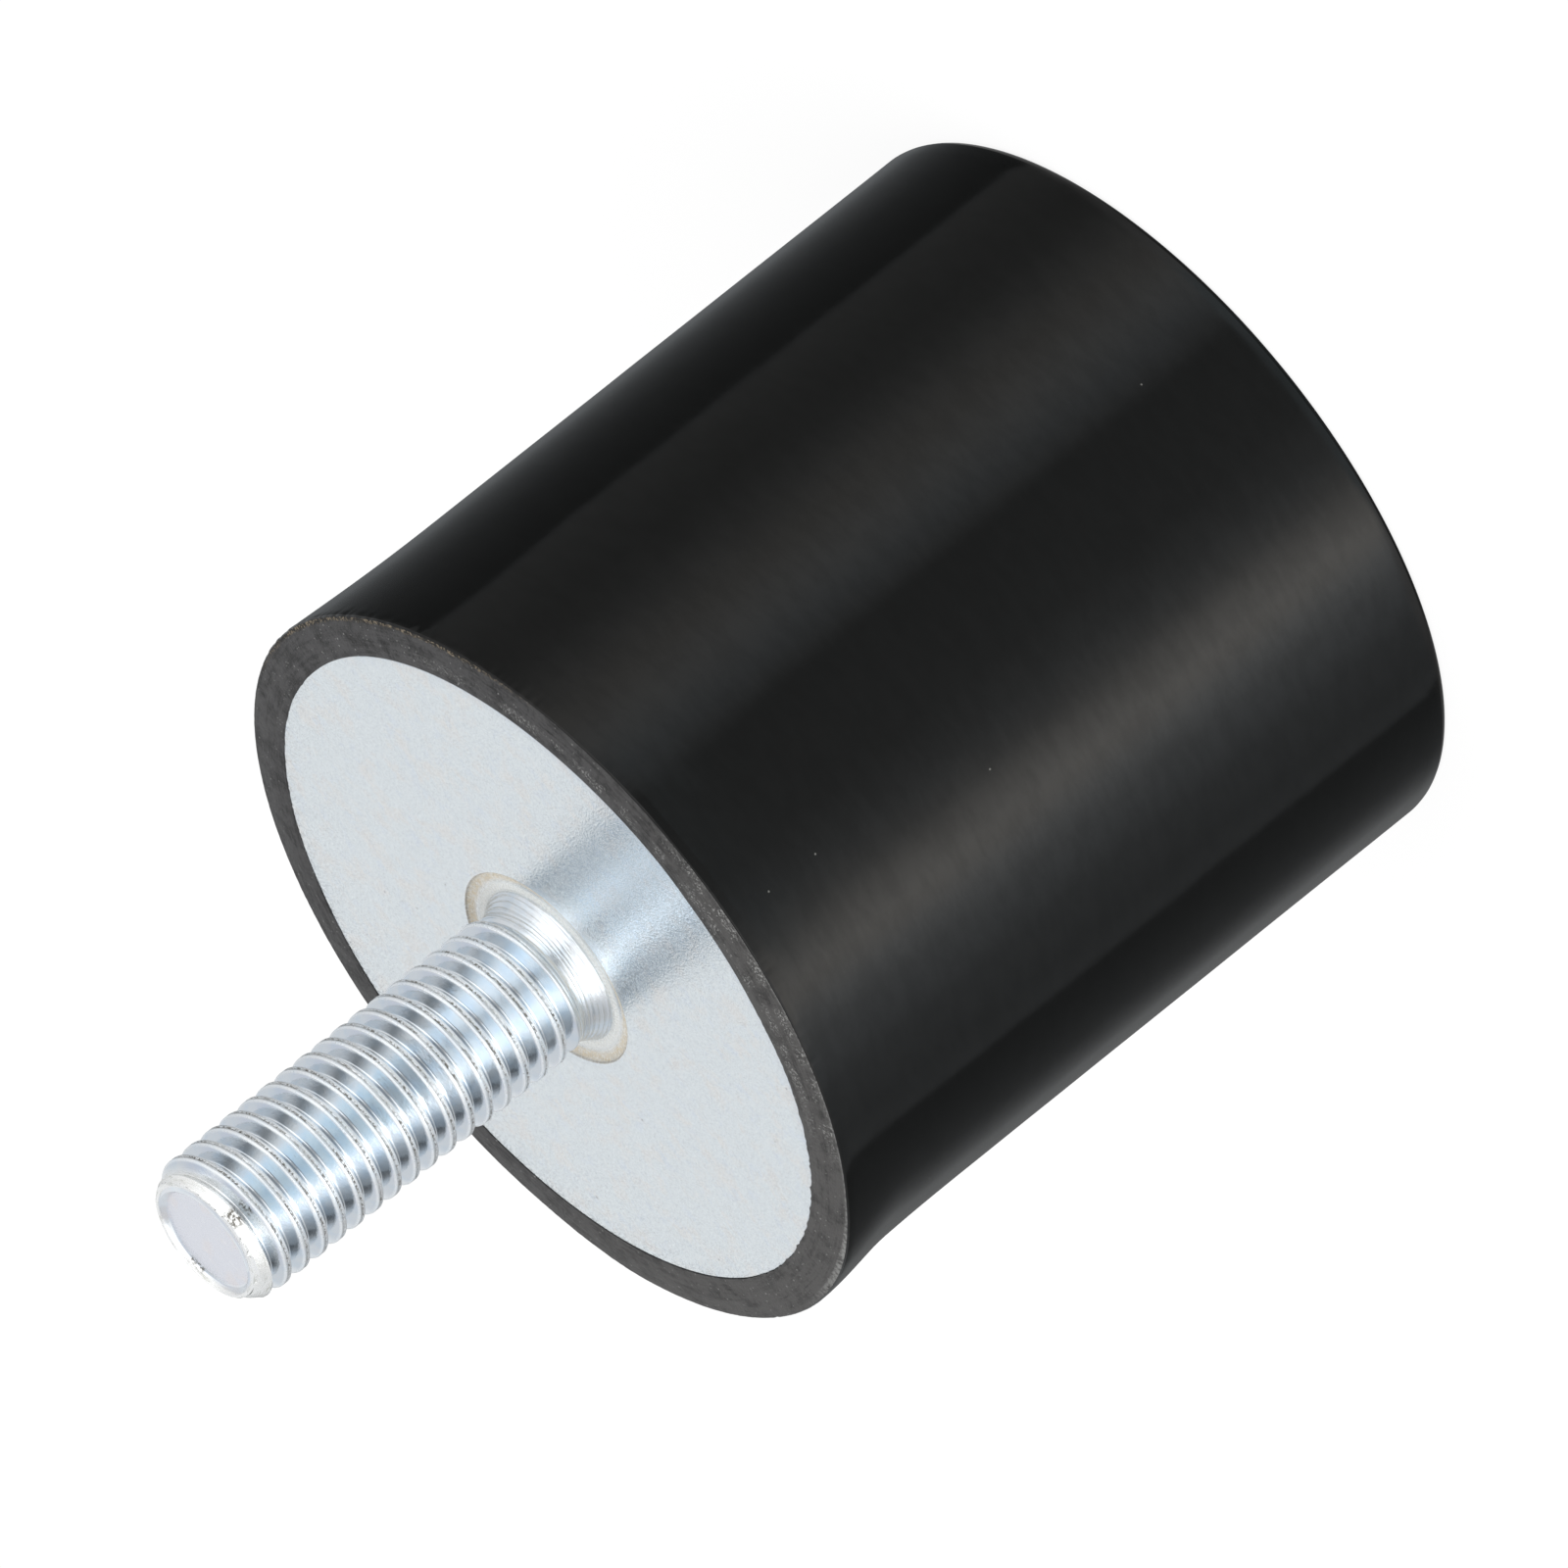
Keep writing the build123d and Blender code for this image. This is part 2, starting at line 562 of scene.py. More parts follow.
@dataclass(frozen=True)
class TrimmedRubber:
    """Cut face of the rim: matt dark grey, clouded and frayed, with rows of pale crumbs, a burnt edge and a
    painted highlight along one stretch of its outer edge.
    """

    colour: Colour = (0.060, 0.059, 0.0595)
    deep: Colour = (0.028, 0.0275, 0.0275)
    light: Colour = (0.080, 0.077, 0.074)
    # pale for the specks and crumbs, and for the painted highlight on the outer edge
    pale: Colour = (0.36, 0.36, 0.35)
    burnt: Colour = (0.012, 0.011, 0.009)
    brown: Colour = (0.21, 0.17, 0.12)
    shine: Span = (0.10, 0.30)
    gloss: Span = (0.45, 0.7)  # lowest and highest roughness
    outer_radius: float = 25.0
    # Two rows of crumbs: how far each lies in from the edge, half its width and its soft edge
    inner_line: tuple[float, float, float] = (1.85, 0.20, 0.35)
    outer_line: tuple[float, float, float] = (0.50, 0.25, 0.40)
    # distances from the outer edge at which the painted highlight starts, and is full
    highlight_edge: Span = (0.24, 0.06)
    burr_edge: Span = (0.12, -0.02)
    burr_reach: float = 0.55  # how far the burnt edge frays
    grain_depth: float = 0.06
    fibre_depth: float = 0.05
    burr: Patch = Patch(337.0, 40.0)
    # stretch of the outer edge that carries the painted highlight
    wear_and_highlight: Patch = Patch(222.0, 50.0)
    lighter: Patch = Patch(200.0, 100.0)
    inner_row: Patch = Patch(272.0, 62.0)
    outer_row: Patch = Patch(246.0, 34.0)
    clouding: Cloud = Cloud(0.75, 6.0, 0.72)
    fibres: Cloud = Cloud(1.0, 5.0, 0.72)
    fibre_scales: Span = (4.0, 0.10)  # features to the millimetre of radius and to the degree
    grain: Cloud = Cloud(4.5, 4.0, 0.7)
    ragged: Cloud = Cloud(3.5, 4.0, 0.7)  # fraying of the worn and the burnt edge
    gaps: Cloud = Cloud(0.6, 2.0, 0.5)  # what breaks the rows of crumbs up
    crumbs: Cloud = Cloud(6.5, 3.0, 0.7)
    flecks: Cloud = Cloud(5.0, 3.0, 0.7)
    large_specks: Specks = Specks(2.6, 0.20, 0.12)
    small_specks: Specks = Specks(5.0, 0.26, 0.08)

    def material(self) -> bpy.types.Material:
        """Make the material.

        Returns:
            The material.
        """
        sheet = Surface("trimmed_rubber")
        grain, ragged = sheet.cloud(self.grain), sheet.cloud(self.ragged)
        fibres = sheet.cloud(self.fibres, sheet.unrolled(*self.fibre_scales))
        from_edge = sheet.math("SUBTRACT", self.outer_radius, sheet.radius)
        tone = sheet.add(
            sheet.times(sheet.cloud(self.clouding), 0.45), sheet.times(fibres, 0.35), sheet.times(grain, 0.20)
        )
        lighter = sheet.times(sheet.patch(self.lighter), sheet.step(tone, 0.38, 0.54, 0.2, 0.7))
        rows = sheet.add(
            sheet.times(sheet.band(from_edge, *self.inner_line), sheet.patch(self.inner_row)),
            sheet.times(sheet.band(from_edge, *self.outer_line), sheet.patch(self.outer_row)),
        )
        rows = sheet.times(rows, sheet.blots(self.gaps, 0.42, 0.56))
        crumbs = sheet.times(sheet.blots(self.crumbs, 0.52, 0.62), rows)
        specks = sheet.math("MAXIMUM", sheet.specks(self.large_specks), sheet.specks(self.small_specks))
        # Painted highlight: a pale, frayed band along one stretch of the rim's rounded outer edge
        wear_and_highlight = sheet.times(
            sheet.step(from_edge, *self.highlight_edge), sheet.patch(self.wear_and_highlight), sheet.step(ragged, 0.38, 0.6)
        )
        reach = sheet.add(from_edge, sheet.times(ragged, -self.burr_reach))
        burr = sheet.times(sheet.step(reach, *self.burr_edge), sheet.patch(self.burr))
        colour = sheet.coats(
            self.colour,
            (sheet.step(tone, 0.56, 0.42), self.deep),
            (lighter, self.light),
            (sheet.times(specks, 0.55), self.pale),
            (sheet.times(crumbs, 0.75), self.pale),
            # painted highlight along the outer edge
            (sheet.times(wear_and_highlight, 0.55), self.pale),
            (burr, self.burnt),
            (sheet.times(burr, sheet.blots(self.flecks, 0.50, 0.60)), self.brown),
        )
        return sheet.dress({
            "Base Color": colour,
            "Roughness": sheet.step(tone, 0.3, 0.7, *self.gloss),
            "Specular IOR Level": sheet.step(tone, 0.40, 0.58, *self.shine),
            "Normal": sheet.relief((grain, self.grain_depth), (fibres, self.fibre_depth)),
        })


@dataclass(frozen=True)
class SatinZinc:
    """Bright zinc on the stamped plate: grain, warm and cool mottling, a cream tide mark in its recess, painted
    shade along the recess's edge and a painted yellowish glint on part of the plate's edge.
    """

    colour: Colour = (0.735, 0.785, 0.81)
    warm: Colour = (0.765, 0.765, 0.755)
    cool: Colour = (0.70, 0.76, 0.82)
    # dark for the dots and the grain, and for the painted shade along the recess's edge
    dark: Colour = (0.36, 0.37, 0.38)
    spark: Colour = (0.84, 0.88, 0.90)
    bare: Colour = (0.92, 0.94, 0.95)
    cream: Colour = (0.66, 0.56, 0.40)
    floor: Colour = (0.74, 0.74, 0.70)
    # colour of the painted yellowish glint on the plate's edge
    edge_glint: Colour = (0.62, 0.52, 0.24)
    gloss: Span = (0.10, 0.17)  # lowest and highest roughness
    film_gloss: float = 0.15  # roughness that the film in the recess adds
    film_metal: float = 0.15  # how metallic it still is
    grit_depth: float = 0.021
    grain_depth: float = 0.006
    scratch_depth: float = 0.003
    recess_soft: float = 0.02  # half the width of the recess's soft edge
    cove_rise: Span = (0.25, 0.75)  # distances past the cove's foot at which the tide mark starts and is full
    floor_fall: Span = (0.6, 0.1)  # the same for the floor's tint, which grows inwards
    shade_line_rise: Span = (0.13, 0.06)  # distances inside the recess's edge between which its painted shade line appears
    edge_glint_rise: Span = (0.22, 0.12)  # distances inside the plate's edge between which the painted yellowish glint appears
    # stretch of the plate's edge with the painted yellowish glint
    glint_stretch: Patch = Patch(22.0, 22.0)
    grain: Cloud = Cloud(5.5, 4.0, 0.7)
    grit: Cloud = Cloud(6.5, 1.0, 0.5)
    warmer: Cloud = Cloud(0.42, 5.0, 0.62)
    cooler: Cloud = Cloud(0.8, 4.0, 0.6, (1.0, 1.0, 1.0), 40.0)
    hairs: Cloud = Cloud(1.0, 2.0, 0.5, (0.25, 9.0, 1.0), 55.0)
    hair_zones: Cloud = Cloud(0.18, 2.0, 0.5)  # where the plate is scratched
    tide: Cloud = Cloud(0.9, 3.0, 0.6)
    # what breaks the painted glint up
    glint_breaks: Cloud = Cloud(1.7, 3.0, 0.6)
    dots: Specks = Specks(0.55, 0.055, 0.30)

    def material(self, plate: "EndPlate") -> bpy.types.Material:
        """Make the material.

        Args:
            plate: The piece that wears it, for its sizes.

        Returns:
            The material.
        """
        sheet = Surface("satin_zinc")
        grain, grit = sheet.cloud(self.grain), sheet.cloud(self.grit)
        scratch = sheet.times(sheet.blots(self.hairs, 0.70, 0.78), sheet.blots(self.hair_zones, 0.54, 0.66))
        edge, foot, rim = plate.recess_radius, plate.cove_radius, plate.plate_radius

        # The recess: its coved wall under the tide mark, its floor, and a painted shade line just inside its
        # edge
        recess = sheet.step(sheet.radius, edge + self.recess_soft, edge - self.recess_soft)
        cove = sheet.times(recess, sheet.step(sheet.radius, *(foot + rise for rise in self.cove_rise)))
        cream = sheet.times(cove, sheet.blots(self.tide, 0.25, 0.7, 0.65, 1.0))
        floor = sheet.step(sheet.radius, *(foot + fall for fall in self.floor_fall))
        line = sheet.times(recess, sheet.step(sheet.radius, *(edge - rise for rise in self.shade_line_rise)))
        film = sheet.times(recess, sheet.math("MAXIMUM", cream, floor))
        # Painted highlight: a yellowish glint along one stretch of the plate's rounded edge, broken up by noise
        edge_glint = sheet.times(
            sheet.step(sheet.radius, *(rim - rise for rise in self.edge_glint_rise)),
            sheet.patch(self.glint_stretch), sheet.blots(self.glint_breaks, 0.40, 0.55),
        )

        colour = sheet.coats(
            self.colour,
            (sheet.blots(self.warmer, 0.46, 0.66, 0.0, 0.85), self.warm),
            (sheet.blots(self.cooler, 0.52, 0.72, 0.0, 0.8), self.cool),
            (cream, self.cream),
            (sheet.times(floor, 0.8), self.floor),
            # painted shade just inside the recess's edge
            (sheet.times(line, 0.45), self.dark),
            # painted yellowish glint on the plate's edge
            (edge_glint, self.edge_glint),
            (sheet.times(sheet.specks(self.dots), 0.65), self.dark),
            (sheet.times(scratch, 0.35), self.bare),
            (sheet.step(grit, 0.46, 0.64, 0.0, 0.4), self.spark),
            (sheet.step(grain, 0.52, 0.38, 0.0, 0.08), self.dark),
        )
        normal = sheet.relief(
            (grit, self.grit_depth), (sheet.step(grain, 0.52, 0.60), self.grain_depth),
            (scratch, self.scratch_depth),
        )
        gloss = sheet.add(sheet.step(grain, 0.3, 0.7, *self.gloss), sheet.times(film, self.film_gloss))
        metal = sheet.step(film, 0.0, 1.0, 1.0, self.film_metal)
        return sheet.dress({"Base Color": colour, "Metallic": metal, "Roughness": gloss, "Normal": normal})


@dataclass(frozen=True)
class ThreadZinc:
    """Bright zinc on the rolled stud: smooth flanks, and a pitted seam along the crest of the thread."""

    colour: Colour = (0.76, 0.80, 0.84)
    cool: Colour = (0.70, 0.77, 0.84)
    grey: Colour = (0.42, 0.42, 0.40)
    dirt: Colour = (0.16, 0.15, 0.13)
    grime: Colour = (0.56, 0.57, 0.52)
    wear_and_highlight: Colour = (0.92, 0.92, 0.90)
    blush: Colour = (0.78, 0.73, 0.72)
    stroke: Colour = (0.88, 0.89, 0.90)
    end_tint: Colour = (0.73, 0.745, 0.80)
    gloss: Span = (0.07, 0.11)  # lowest and highest roughness
    rough_gloss: float = 0.20  # roughness that the crests and the tip add
    rough_metal: float = 0.55  # how metallic they still are
    line_depth: float = 0.0012
    grain_depth: float = 0.0030
    ripple_depth: float = 0.008
    ring_depth: float = 0.05
    lump_depth: float = 0.05
    grit_depth: float = 0.015
    pit_depth: float = 0.03
    crest_zone: Span = (0.2, 0.08)  # depths under the crests at which a place starts to count as one and does
    thread_zone: Span = (-0.6, 0.2)  # heights over the first crest at which the thread starts, and is full
    neck_zone: Span = (-0.4, -1.4)  # heights over it at which the neck starts, going down, and is full
    chamfer_zone: Span = (-0.1, 0.4)  # heights over the chamfer's foot at which its finish starts, and is full
    cone_zone: Span = (0.35, 0.2)  # depths under the core's radius at which it starts, and is full
    tip_depth: float = 1.0
    fleck_inner: float = 4.3
    squiggle_zone: Span = (3.4, 3.6)
    clean_side: float = 90.0  # angle of the side, towards -Y, that holds less grime
    fleck: Patch = Patch(-91.0, 9.0)
    squiggle: Patch = Patch(103.0, 12.0)
    wander: Cloud = Cloud(0.9, 2.0, 0.5)
    pits: Cloud = Cloud(6.0, 4.0, 0.75)
    breaks: Cloud = Cloud(0.7, 2.0, 0.5)  # what breaks the pits of the seam up
    lines: Cloud = Cloud(1.0, 3.0, 0.6, (0.5, 0.5, 11.0))
    rings: Cloud = Cloud(1.0, 4.0, 0.75, (0.12, 0.12, 4.5))
    grain: Cloud = Cloud(9.0, 3.0, 0.6)
    ripple: Cloud = Cloud(2.6, 4.0, 0.65)
    lumps: Cloud = Cloud(1.0, 5.0, 0.7)
    lump_scales: tuple[float, float, float] = (4.5, 0.045, 4.5)
    flecks: Cloud = Cloud(5.0, 4.0, 0.75)
    strokes: Cloud = Cloud(1.0, 3.0, 0.6, (1.3, 5.0, 1.0), 35.0)
    blushes: Cloud = Cloud(0.45, 3.0, 0.6)

    def material(self, stud: "ThreadedStud") -> bpy.types.Material:
        """Make the material.

        Args:
            stud: The piece that wears it, for its sizes.

        Returns:
            The material.
        """
        sheet = Surface("thread_zinc")
        wander, grain = sheet.cloud(self.wander), sheet.cloud(self.grain)
        lumps = sheet.cloud(self.lumps, sheet.unrolled(*self.lump_scales))
        crest, core, first, tip = stud.stud_radius, stud.core_radius, stud.first_crest, stud.stud_tip
        wall = core - stud.tip_land
        end_radius, chamfer = wall - stud.hollow_wall, tip - stud.chamfer_length

        # The crests and the pitted seam along them, followed by how far round its helix a place lies
        outer = sheet.step(sheet.radius, *(crest - zone for zone in self.crest_zone))
        threaded = sheet.step(sheet.height, *(first + zone for zone in self.thread_zone))
        neck = sheet.step(sheet.height, *(first + zone for zone in self.neck_zone))
        pitch, seam_half = stud.thread.pitch, stud.thread.seam_half
        along = sheet.math("DIVIDE", sheet.math("SUBTRACT", sheet.height, first), pitch)
        turns = sheet.math("SUBTRACT", along, sheet.math("DIVIDE", sheet.angle, FULL_TURN))
        off = sheet.times(sheet.math("PINGPONG", turns, 0.5), pitch)
        seam = sheet.times(sheet.step(off, seam_half + 0.03, seam_half - 0.02), outer, threaded)
        pitted = sheet.times(
            seam, sheet.blots(self.pits, 0.48, 0.56), sheet.blots(self.breaks, 0.36, 0.60, 0.35, 1.0)
        )

        # The tip: its rough chamfer, the hollow with strokes and a blush, and the hollow's even floor
        near_tip = sheet.step(sheet.height, first, tip - self.tip_depth)
        inside = sheet.times(sheet.step(sheet.radius, core, wall), near_tip)
        end = sheet.times(sheet.step(sheet.radius, end_radius + 0.1, end_radius), near_tip)
        dulled = sheet.times(
            sheet.step(sheet.height, *(chamfer + zone for zone in self.chamfer_zone)),
            sheet.step(sheet.radius, *(core - zone for zone in self.cone_zone)),
        )
        turned = sheet.math("ABSOLUTE", sheet.add(sheet.angle, self.clean_side))
        grimy = sheet.times(
            dulled, sheet.step(lumps, 0.46, 0.36), sheet.step(turned, 25.0, 60.0, 0.35, 0.9), 0.8
        )
        flecks = sheet.blots(self.flecks, 0.47, 0.55)
        fleck = sheet.times(
            flecks, sheet.patch(self.fleck), dulled, sheet.step(sheet.radius, core, self.fleck_inner)
        )
        squiggle = sheet.times(
            flecks, sheet.patch(self.squiggle), inside, sheet.step(sheet.radius, *self.squiggle_zone)
        )
        blush = sheet.times(inside, sheet.blots(self.blushes, 0.50, 0.66))
        strokes = sheet.times(inside, sheet.blots(self.strokes, 0.60, 0.68), sheet.step(wander, 0.42, 0.58))

        colour = sheet.coats(
            self.colour,
            (sheet.step(wander, 0.4, 0.7), self.cool),
            (sheet.times(outer, threaded, 0.2), self.wear_and_highlight),
            (sheet.times(seam, 0.20), self.grey),
            (sheet.times(pitted, 0.95), self.dirt),
            (sheet.times(dulled, 0.8), self.wear_and_highlight),
            (grimy, self.grime),
            (sheet.math("MAXIMUM", fleck, squiggle), self.dirt),
            (end, self.end_tint),
            (sheet.times(blush, 0.5), self.blush),
            (sheet.times(strokes, 0.6), self.stroke),
        )
        normal = sheet.relief(
            (sheet.cloud(self.lines), self.line_depth),
            (grain, self.grain_depth),
            (sheet.cloud(self.ripple), self.ripple_depth),
            (sheet.times(sheet.cloud(self.rings), neck), self.ring_depth),
            (sheet.times(lumps, dulled), self.lump_depth),
            (sheet.times(grain, dulled), self.grit_depth),
            (pitted, -self.pit_depth),
        )
        rough = sheet.math("MAXIMUM", sheet.times(outer, threaded), sheet.times(dulled, 0.9))
        gloss = sheet.add(
            sheet.step(grain, 0.3, 0.7, *self.gloss), sheet.times(rough, self.rough_gloss),
            sheet.times(end, self.rough_gloss),
        )
        metal = sheet.math("MAXIMUM", rough, sheet.times(inside, 0.5))
        metal = sheet.step(metal, 0.0, 1.0, 1.0, self.rough_metal)
        return sheet.dress({"Base Color": colour, "Metallic": metal, "Roughness": gloss, "Normal": normal})


class Stretch(IntEnum):
    """Stretches of the rubber's half section, kept on its points."""

    POCKET = 0
    LIP = 1
    RIM = 2
    EDGE = 3
    SIDE = 4
    FREE = 5


@dataclass(frozen=True)
class Nick:
    """A small bite out of the rim's outer edge."""

    angle: float
    half_width: float
    depth: float


@dataclass
class RubberBody:
    """The moulded rubber: a plain cylinder that flares a little round the plate and wraps its edge."""

    steps: int = 900
    rim_radius: float = 25.0
    plate_radius: float = 22.32
    plate_back: float = 47.3
    plate_face: float = 50.3
    plate_edge: float = 0.15
    head_radius: float = 8.9
    head_back: float = 44.8
    head_edge: float = 0.4
    rim_fall: float = 0.27  # from the lip down to the rim's outer edge
    rim_edge: float = 0.15
    rim_hang: float = 0.1  # how far the curve of the rim's face is pulled down in its middle
    flare: float = 0.35  # how far the rim stands out past the plain side
    flare_height: float = 12.0
    flare_start_hold: float = 6.0  # pull of the flare's curve at its foot
    flare_end_hold: float = 3.0  # and at the rim
    flare_end_slope: float = 0.04  # how much the flare still widens there
    free_edge: float = 0.5
    lip_over: float = 0.012  # how far the lip laps over the plate
    lip_thick: float = 0.035  # how far it stands over the plate's face
    lip_under: float = 0.01
    lip_round: float = 0.012
    lip_width: float = 0.03
    tooth_pitch: float = 0.36
    tooth_depth: float = 0.20
    tooth_stir: float = 2.2  # size of the slow changes along the lip
    lip_stir: float = 0.012  # and their depth
    side_wave: float = 0.012  # height of the waves on the side
    slow_wave: float = 7.0  # their size
    quick_wave: float = 2.6  # size of the smaller waves on them
    rim_rough: float = 0.022
    edge_rough: float = 0.010
    edge_limit: Span = (0.02, 0.03)  # how far the rough edge may stand out, and up
    toothed: tuple[Patch, ...] = (Patch(190.0, 36.0, 0.8), Patch(228.0, 26.0, 0.55), Patch(25.0, 30.0, 0.35))
    drawn: tuple[Patch, ...] = (Patch(28.0, 50.0, 0.19), Patch(252.0, 20.0, 0.16))  # wide tongues of the lip
    swell: Patch = Patch(163.0, 50.0, 0.34)  # where the wall round the plate is thicker
    swell_wall: float = 0.5  # distance from the rim's outside inside which the swell is full
    swell_depth: Span = (6.0, 0.8)  # depths under the plate's face at which the swell starts, and is full
    burr: Patch = Patch(337.0, 40.0, 0.07)
    nicks: tuple[Nick, ...] = (
        Nick(166.0, 0.6, 0.06), Nick(236.0, 0.5, 0.02), Nick(251.0, 0.4, 0.02), Nick(300.0, 0.4, 0.02),
    )
    side_finish: MouldedRubber = MouldedRubber()
    rim_finish: TrimmedRubber = TrimmedRubber()

    @classmethod
    def from_frame(cls) -> "RubberBody":
        """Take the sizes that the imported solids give.

        Returns:
            The piece, not yet built.
        """
        rim_radius, _, _ = node_span("rubber_body")
        plate_radius, plate_back, plate_face = node_span("end_plate")
        head_radius, head_back, _ = node_span("threaded_stud")
        return cls(
            rim_radius=rim_radius, plate_radius=plate_radius, plate_back=plate_back,
            plate_face=plate_face, head_radius=head_radius, head_back=head_back,
        )

    def build(self) -> bpy.types.Object:
        """Build and dress the piece.

        Returns:
            The finished piece.
        """
        mesh = self._shell()
        self._weather(mesh)
        self._share_out(mesh)
        made = piece_from(mesh, "buffer_rubber", "rubber_body", 40.0)
        for finish in (self.side_finish, self.rim_finish):
            made.data.materials.append(finish.material())
        return made

    def _shell(self) -> bmesh.types.BMesh:
        """Turn the section, from the pocket's middle round the rim to the middle of the free face.

        Returns:
            The body's mesh, still even all round.
        """
        rim, side, plate = self.rim_radius, self.rim_radius - self.flare, self.plate_radius
        head, head_back, over = self.head_radius, self.head_back, self.plate_radius - self.lip_over
        top = self.plate_face + self.lip_thick
        outer_top = top - self.rim_fall
        flare_end = outer_top - self.rim_edge
        flare_start = flare_end - self.flare_height
        middle = (plate + rim) / 2
        upper_pull = (rim - self.flare_end_slope * self.flare_end_hold, flare_end - self.flare_end_hold)
        lower_pull = (side, flare_start + self.flare_start_hold)

        section = HalfSection(0.0, head_back, Stretch.POCKET)
        section.line(head - self.head_edge, head_back, 3)
        section.round((head, head_back), head, head_back + self.head_edge)
        section.line(head, self.plate_back)
        section.line(plate, self.plate_back, 3)
        section.line(plate, self.plate_face - self.plate_edge, 2)
        section.line(over, self.plate_face - self.lip_under, 1, Stretch.LIP)
        section.line(over, top - self.lip_round, 1, Stretch.LIP)
        section.line(plate + self.lip_width, top, 1, Stretch.LIP)
        hang = [(middle, top), (middle, top - self.rim_hang)]
        section.bend(hang, rim - self.rim_edge, outer_top, 15, Stretch.RIM)
        section.round((rim, outer_top), rim, flare_end, 4, Stretch.EDGE)
        section.bend([upper_pull, lower_pull], side, flare_start, 16, Stretch.SIDE)
        section.line(side, self.free_edge, 36, Stretch.SIDE)
        section.round((side, 0.0), side - self.free_edge, 0.0, 5, Stretch.FREE)
        section.line(0.0, 0.0, 5, Stretch.FREE)
        return section.turn(self.steps)

    def _weather(self, mesh: bmesh.types.BMesh) -> None:
        """Give the moulded side its waves, the rim its roughness and the lip its teeth.

        Args:
            mesh: The body's mesh.
        """
        tags = mesh.verts.layers.int["stretch"]
        for vert in mesh.verts:
            stretch = vert[tags]
            if stretch in (Stretch.SIDE, Stretch.EDGE, Stretch.RIM):
                self._swell(vert.co)
            if stretch == Stretch.SIDE:
                self._wave(vert.co)
            elif stretch == Stretch.RIM:
                vert.co.z += self._roughness(vert.co)
            elif stretch == Stretch.EDGE:
                self._break_edge(vert.co)
            elif stretch == Stretch.LIP:
                self._bite(vert.co)

    def _wave(self, place: Vector) -> None:
        """Move a place on the side by the slow waves of the moulding.

        Args:
            place: The place, which is changed.
        """
        slow = noise.noise(place / self.slow_wave)
        quick = noise.noise(place / self.quick_wave + Vector((9.0, 3.0, 5.0)))
        set_across(place, across(place) + self.side_wave * (slow + 0.25 * quick))

    def _swell(self, place: Vector) -> None:
        """Push the wall out where the rubber is thicker, less towards the plate and further down the side.

        Args:
            place: A place on the rim or the side, which is changed.
        """
        radius = across(place)
        lowest, highest = (self.plate_face - depth for depth in self.swell_depth)
        share = fade(radius, self.plate_radius, self.rim_radius - self.swell_wall)
        share *= fade(place.z, lowest, highest)
        set_across(place, radius + self.swell.at(angle_of(place)) * share)

    def _roughness(self, place: Vector) -> float:
        """Height of the rim's rough surface.

        Args:
            place: A place on the rim.

        Returns:
            The height at that place.
        """
        coarse = noise.noise(place * 1.1 + Vector((0.0, 0.0, 4.0)))
        fine = noise.noise(place * 3.1)
        return self.rim_rough * (0.7 * coarse + 0.5 * fine)

    def _break_edge(self, place: Vector) -> None:
        """Roughen the rim's outer edge, with the burr and the nicks.

        Args:
            place: A place on the edge, which is changed.
        """
        angle = angle_of(place)
        coarse = noise.noise(Vector((place.x, place.y, 0.0)) * 1.6)
        fine = noise.noise(Vector((place.x, place.y, 7.0)) * 3.3)
        out = self.edge_rough * fine + self.burr.at(angle) * (coarse + 0.5 * fine)
        for nick in self.nicks:
            out -= nick.depth * fade(angle_between(angle, nick.angle), nick.half_width, 0.0)
        furthest, highest = self.edge_limit
        set_across(place, across(place) + min(out, furthest))
        place.z += 0.5 * min(out, highest) + self._roughness(place) * 0.6

    def _bite(self, place: Vector) -> None:
        """Draw the lip inwards over the plate in teeth, more in some stretches than in others.

        Args:
            place: A place on the lip, which is changed.
        """
        angle = angle_of(place)
        tooth = noise.noise(Vector((place.x, place.y, 0.0)) / self.tooth_pitch)
        slow = noise.noise(Vector((place.x, place.y, 5.0)) / self.tooth_stir)
        depth = self.tooth_depth * sum(patch.at(angle) for patch in self.toothed)
        over = depth * max(0.0, 0.25 + 0.9 * tooth + 0.5 * slow) + self.lip_stir * slow
        over += sum(patch.at(angle) for patch in self.drawn)
        set_across(place, across(place) - max(0.0, over))

    def _share_out(self, mesh: bmesh.types.BMesh) -> None:
        """Give the faces of the rim the second finish.

        Args:
            mesh: The body's mesh.
        """
        tags = mesh.verts.layers.int["stretch"]
        trimmed = {Stretch.LIP, Stretch.RIM}
        for face in mesh.faces:
            face.material_index = int(any(vert[tags] in trimmed for vert in face.verts))


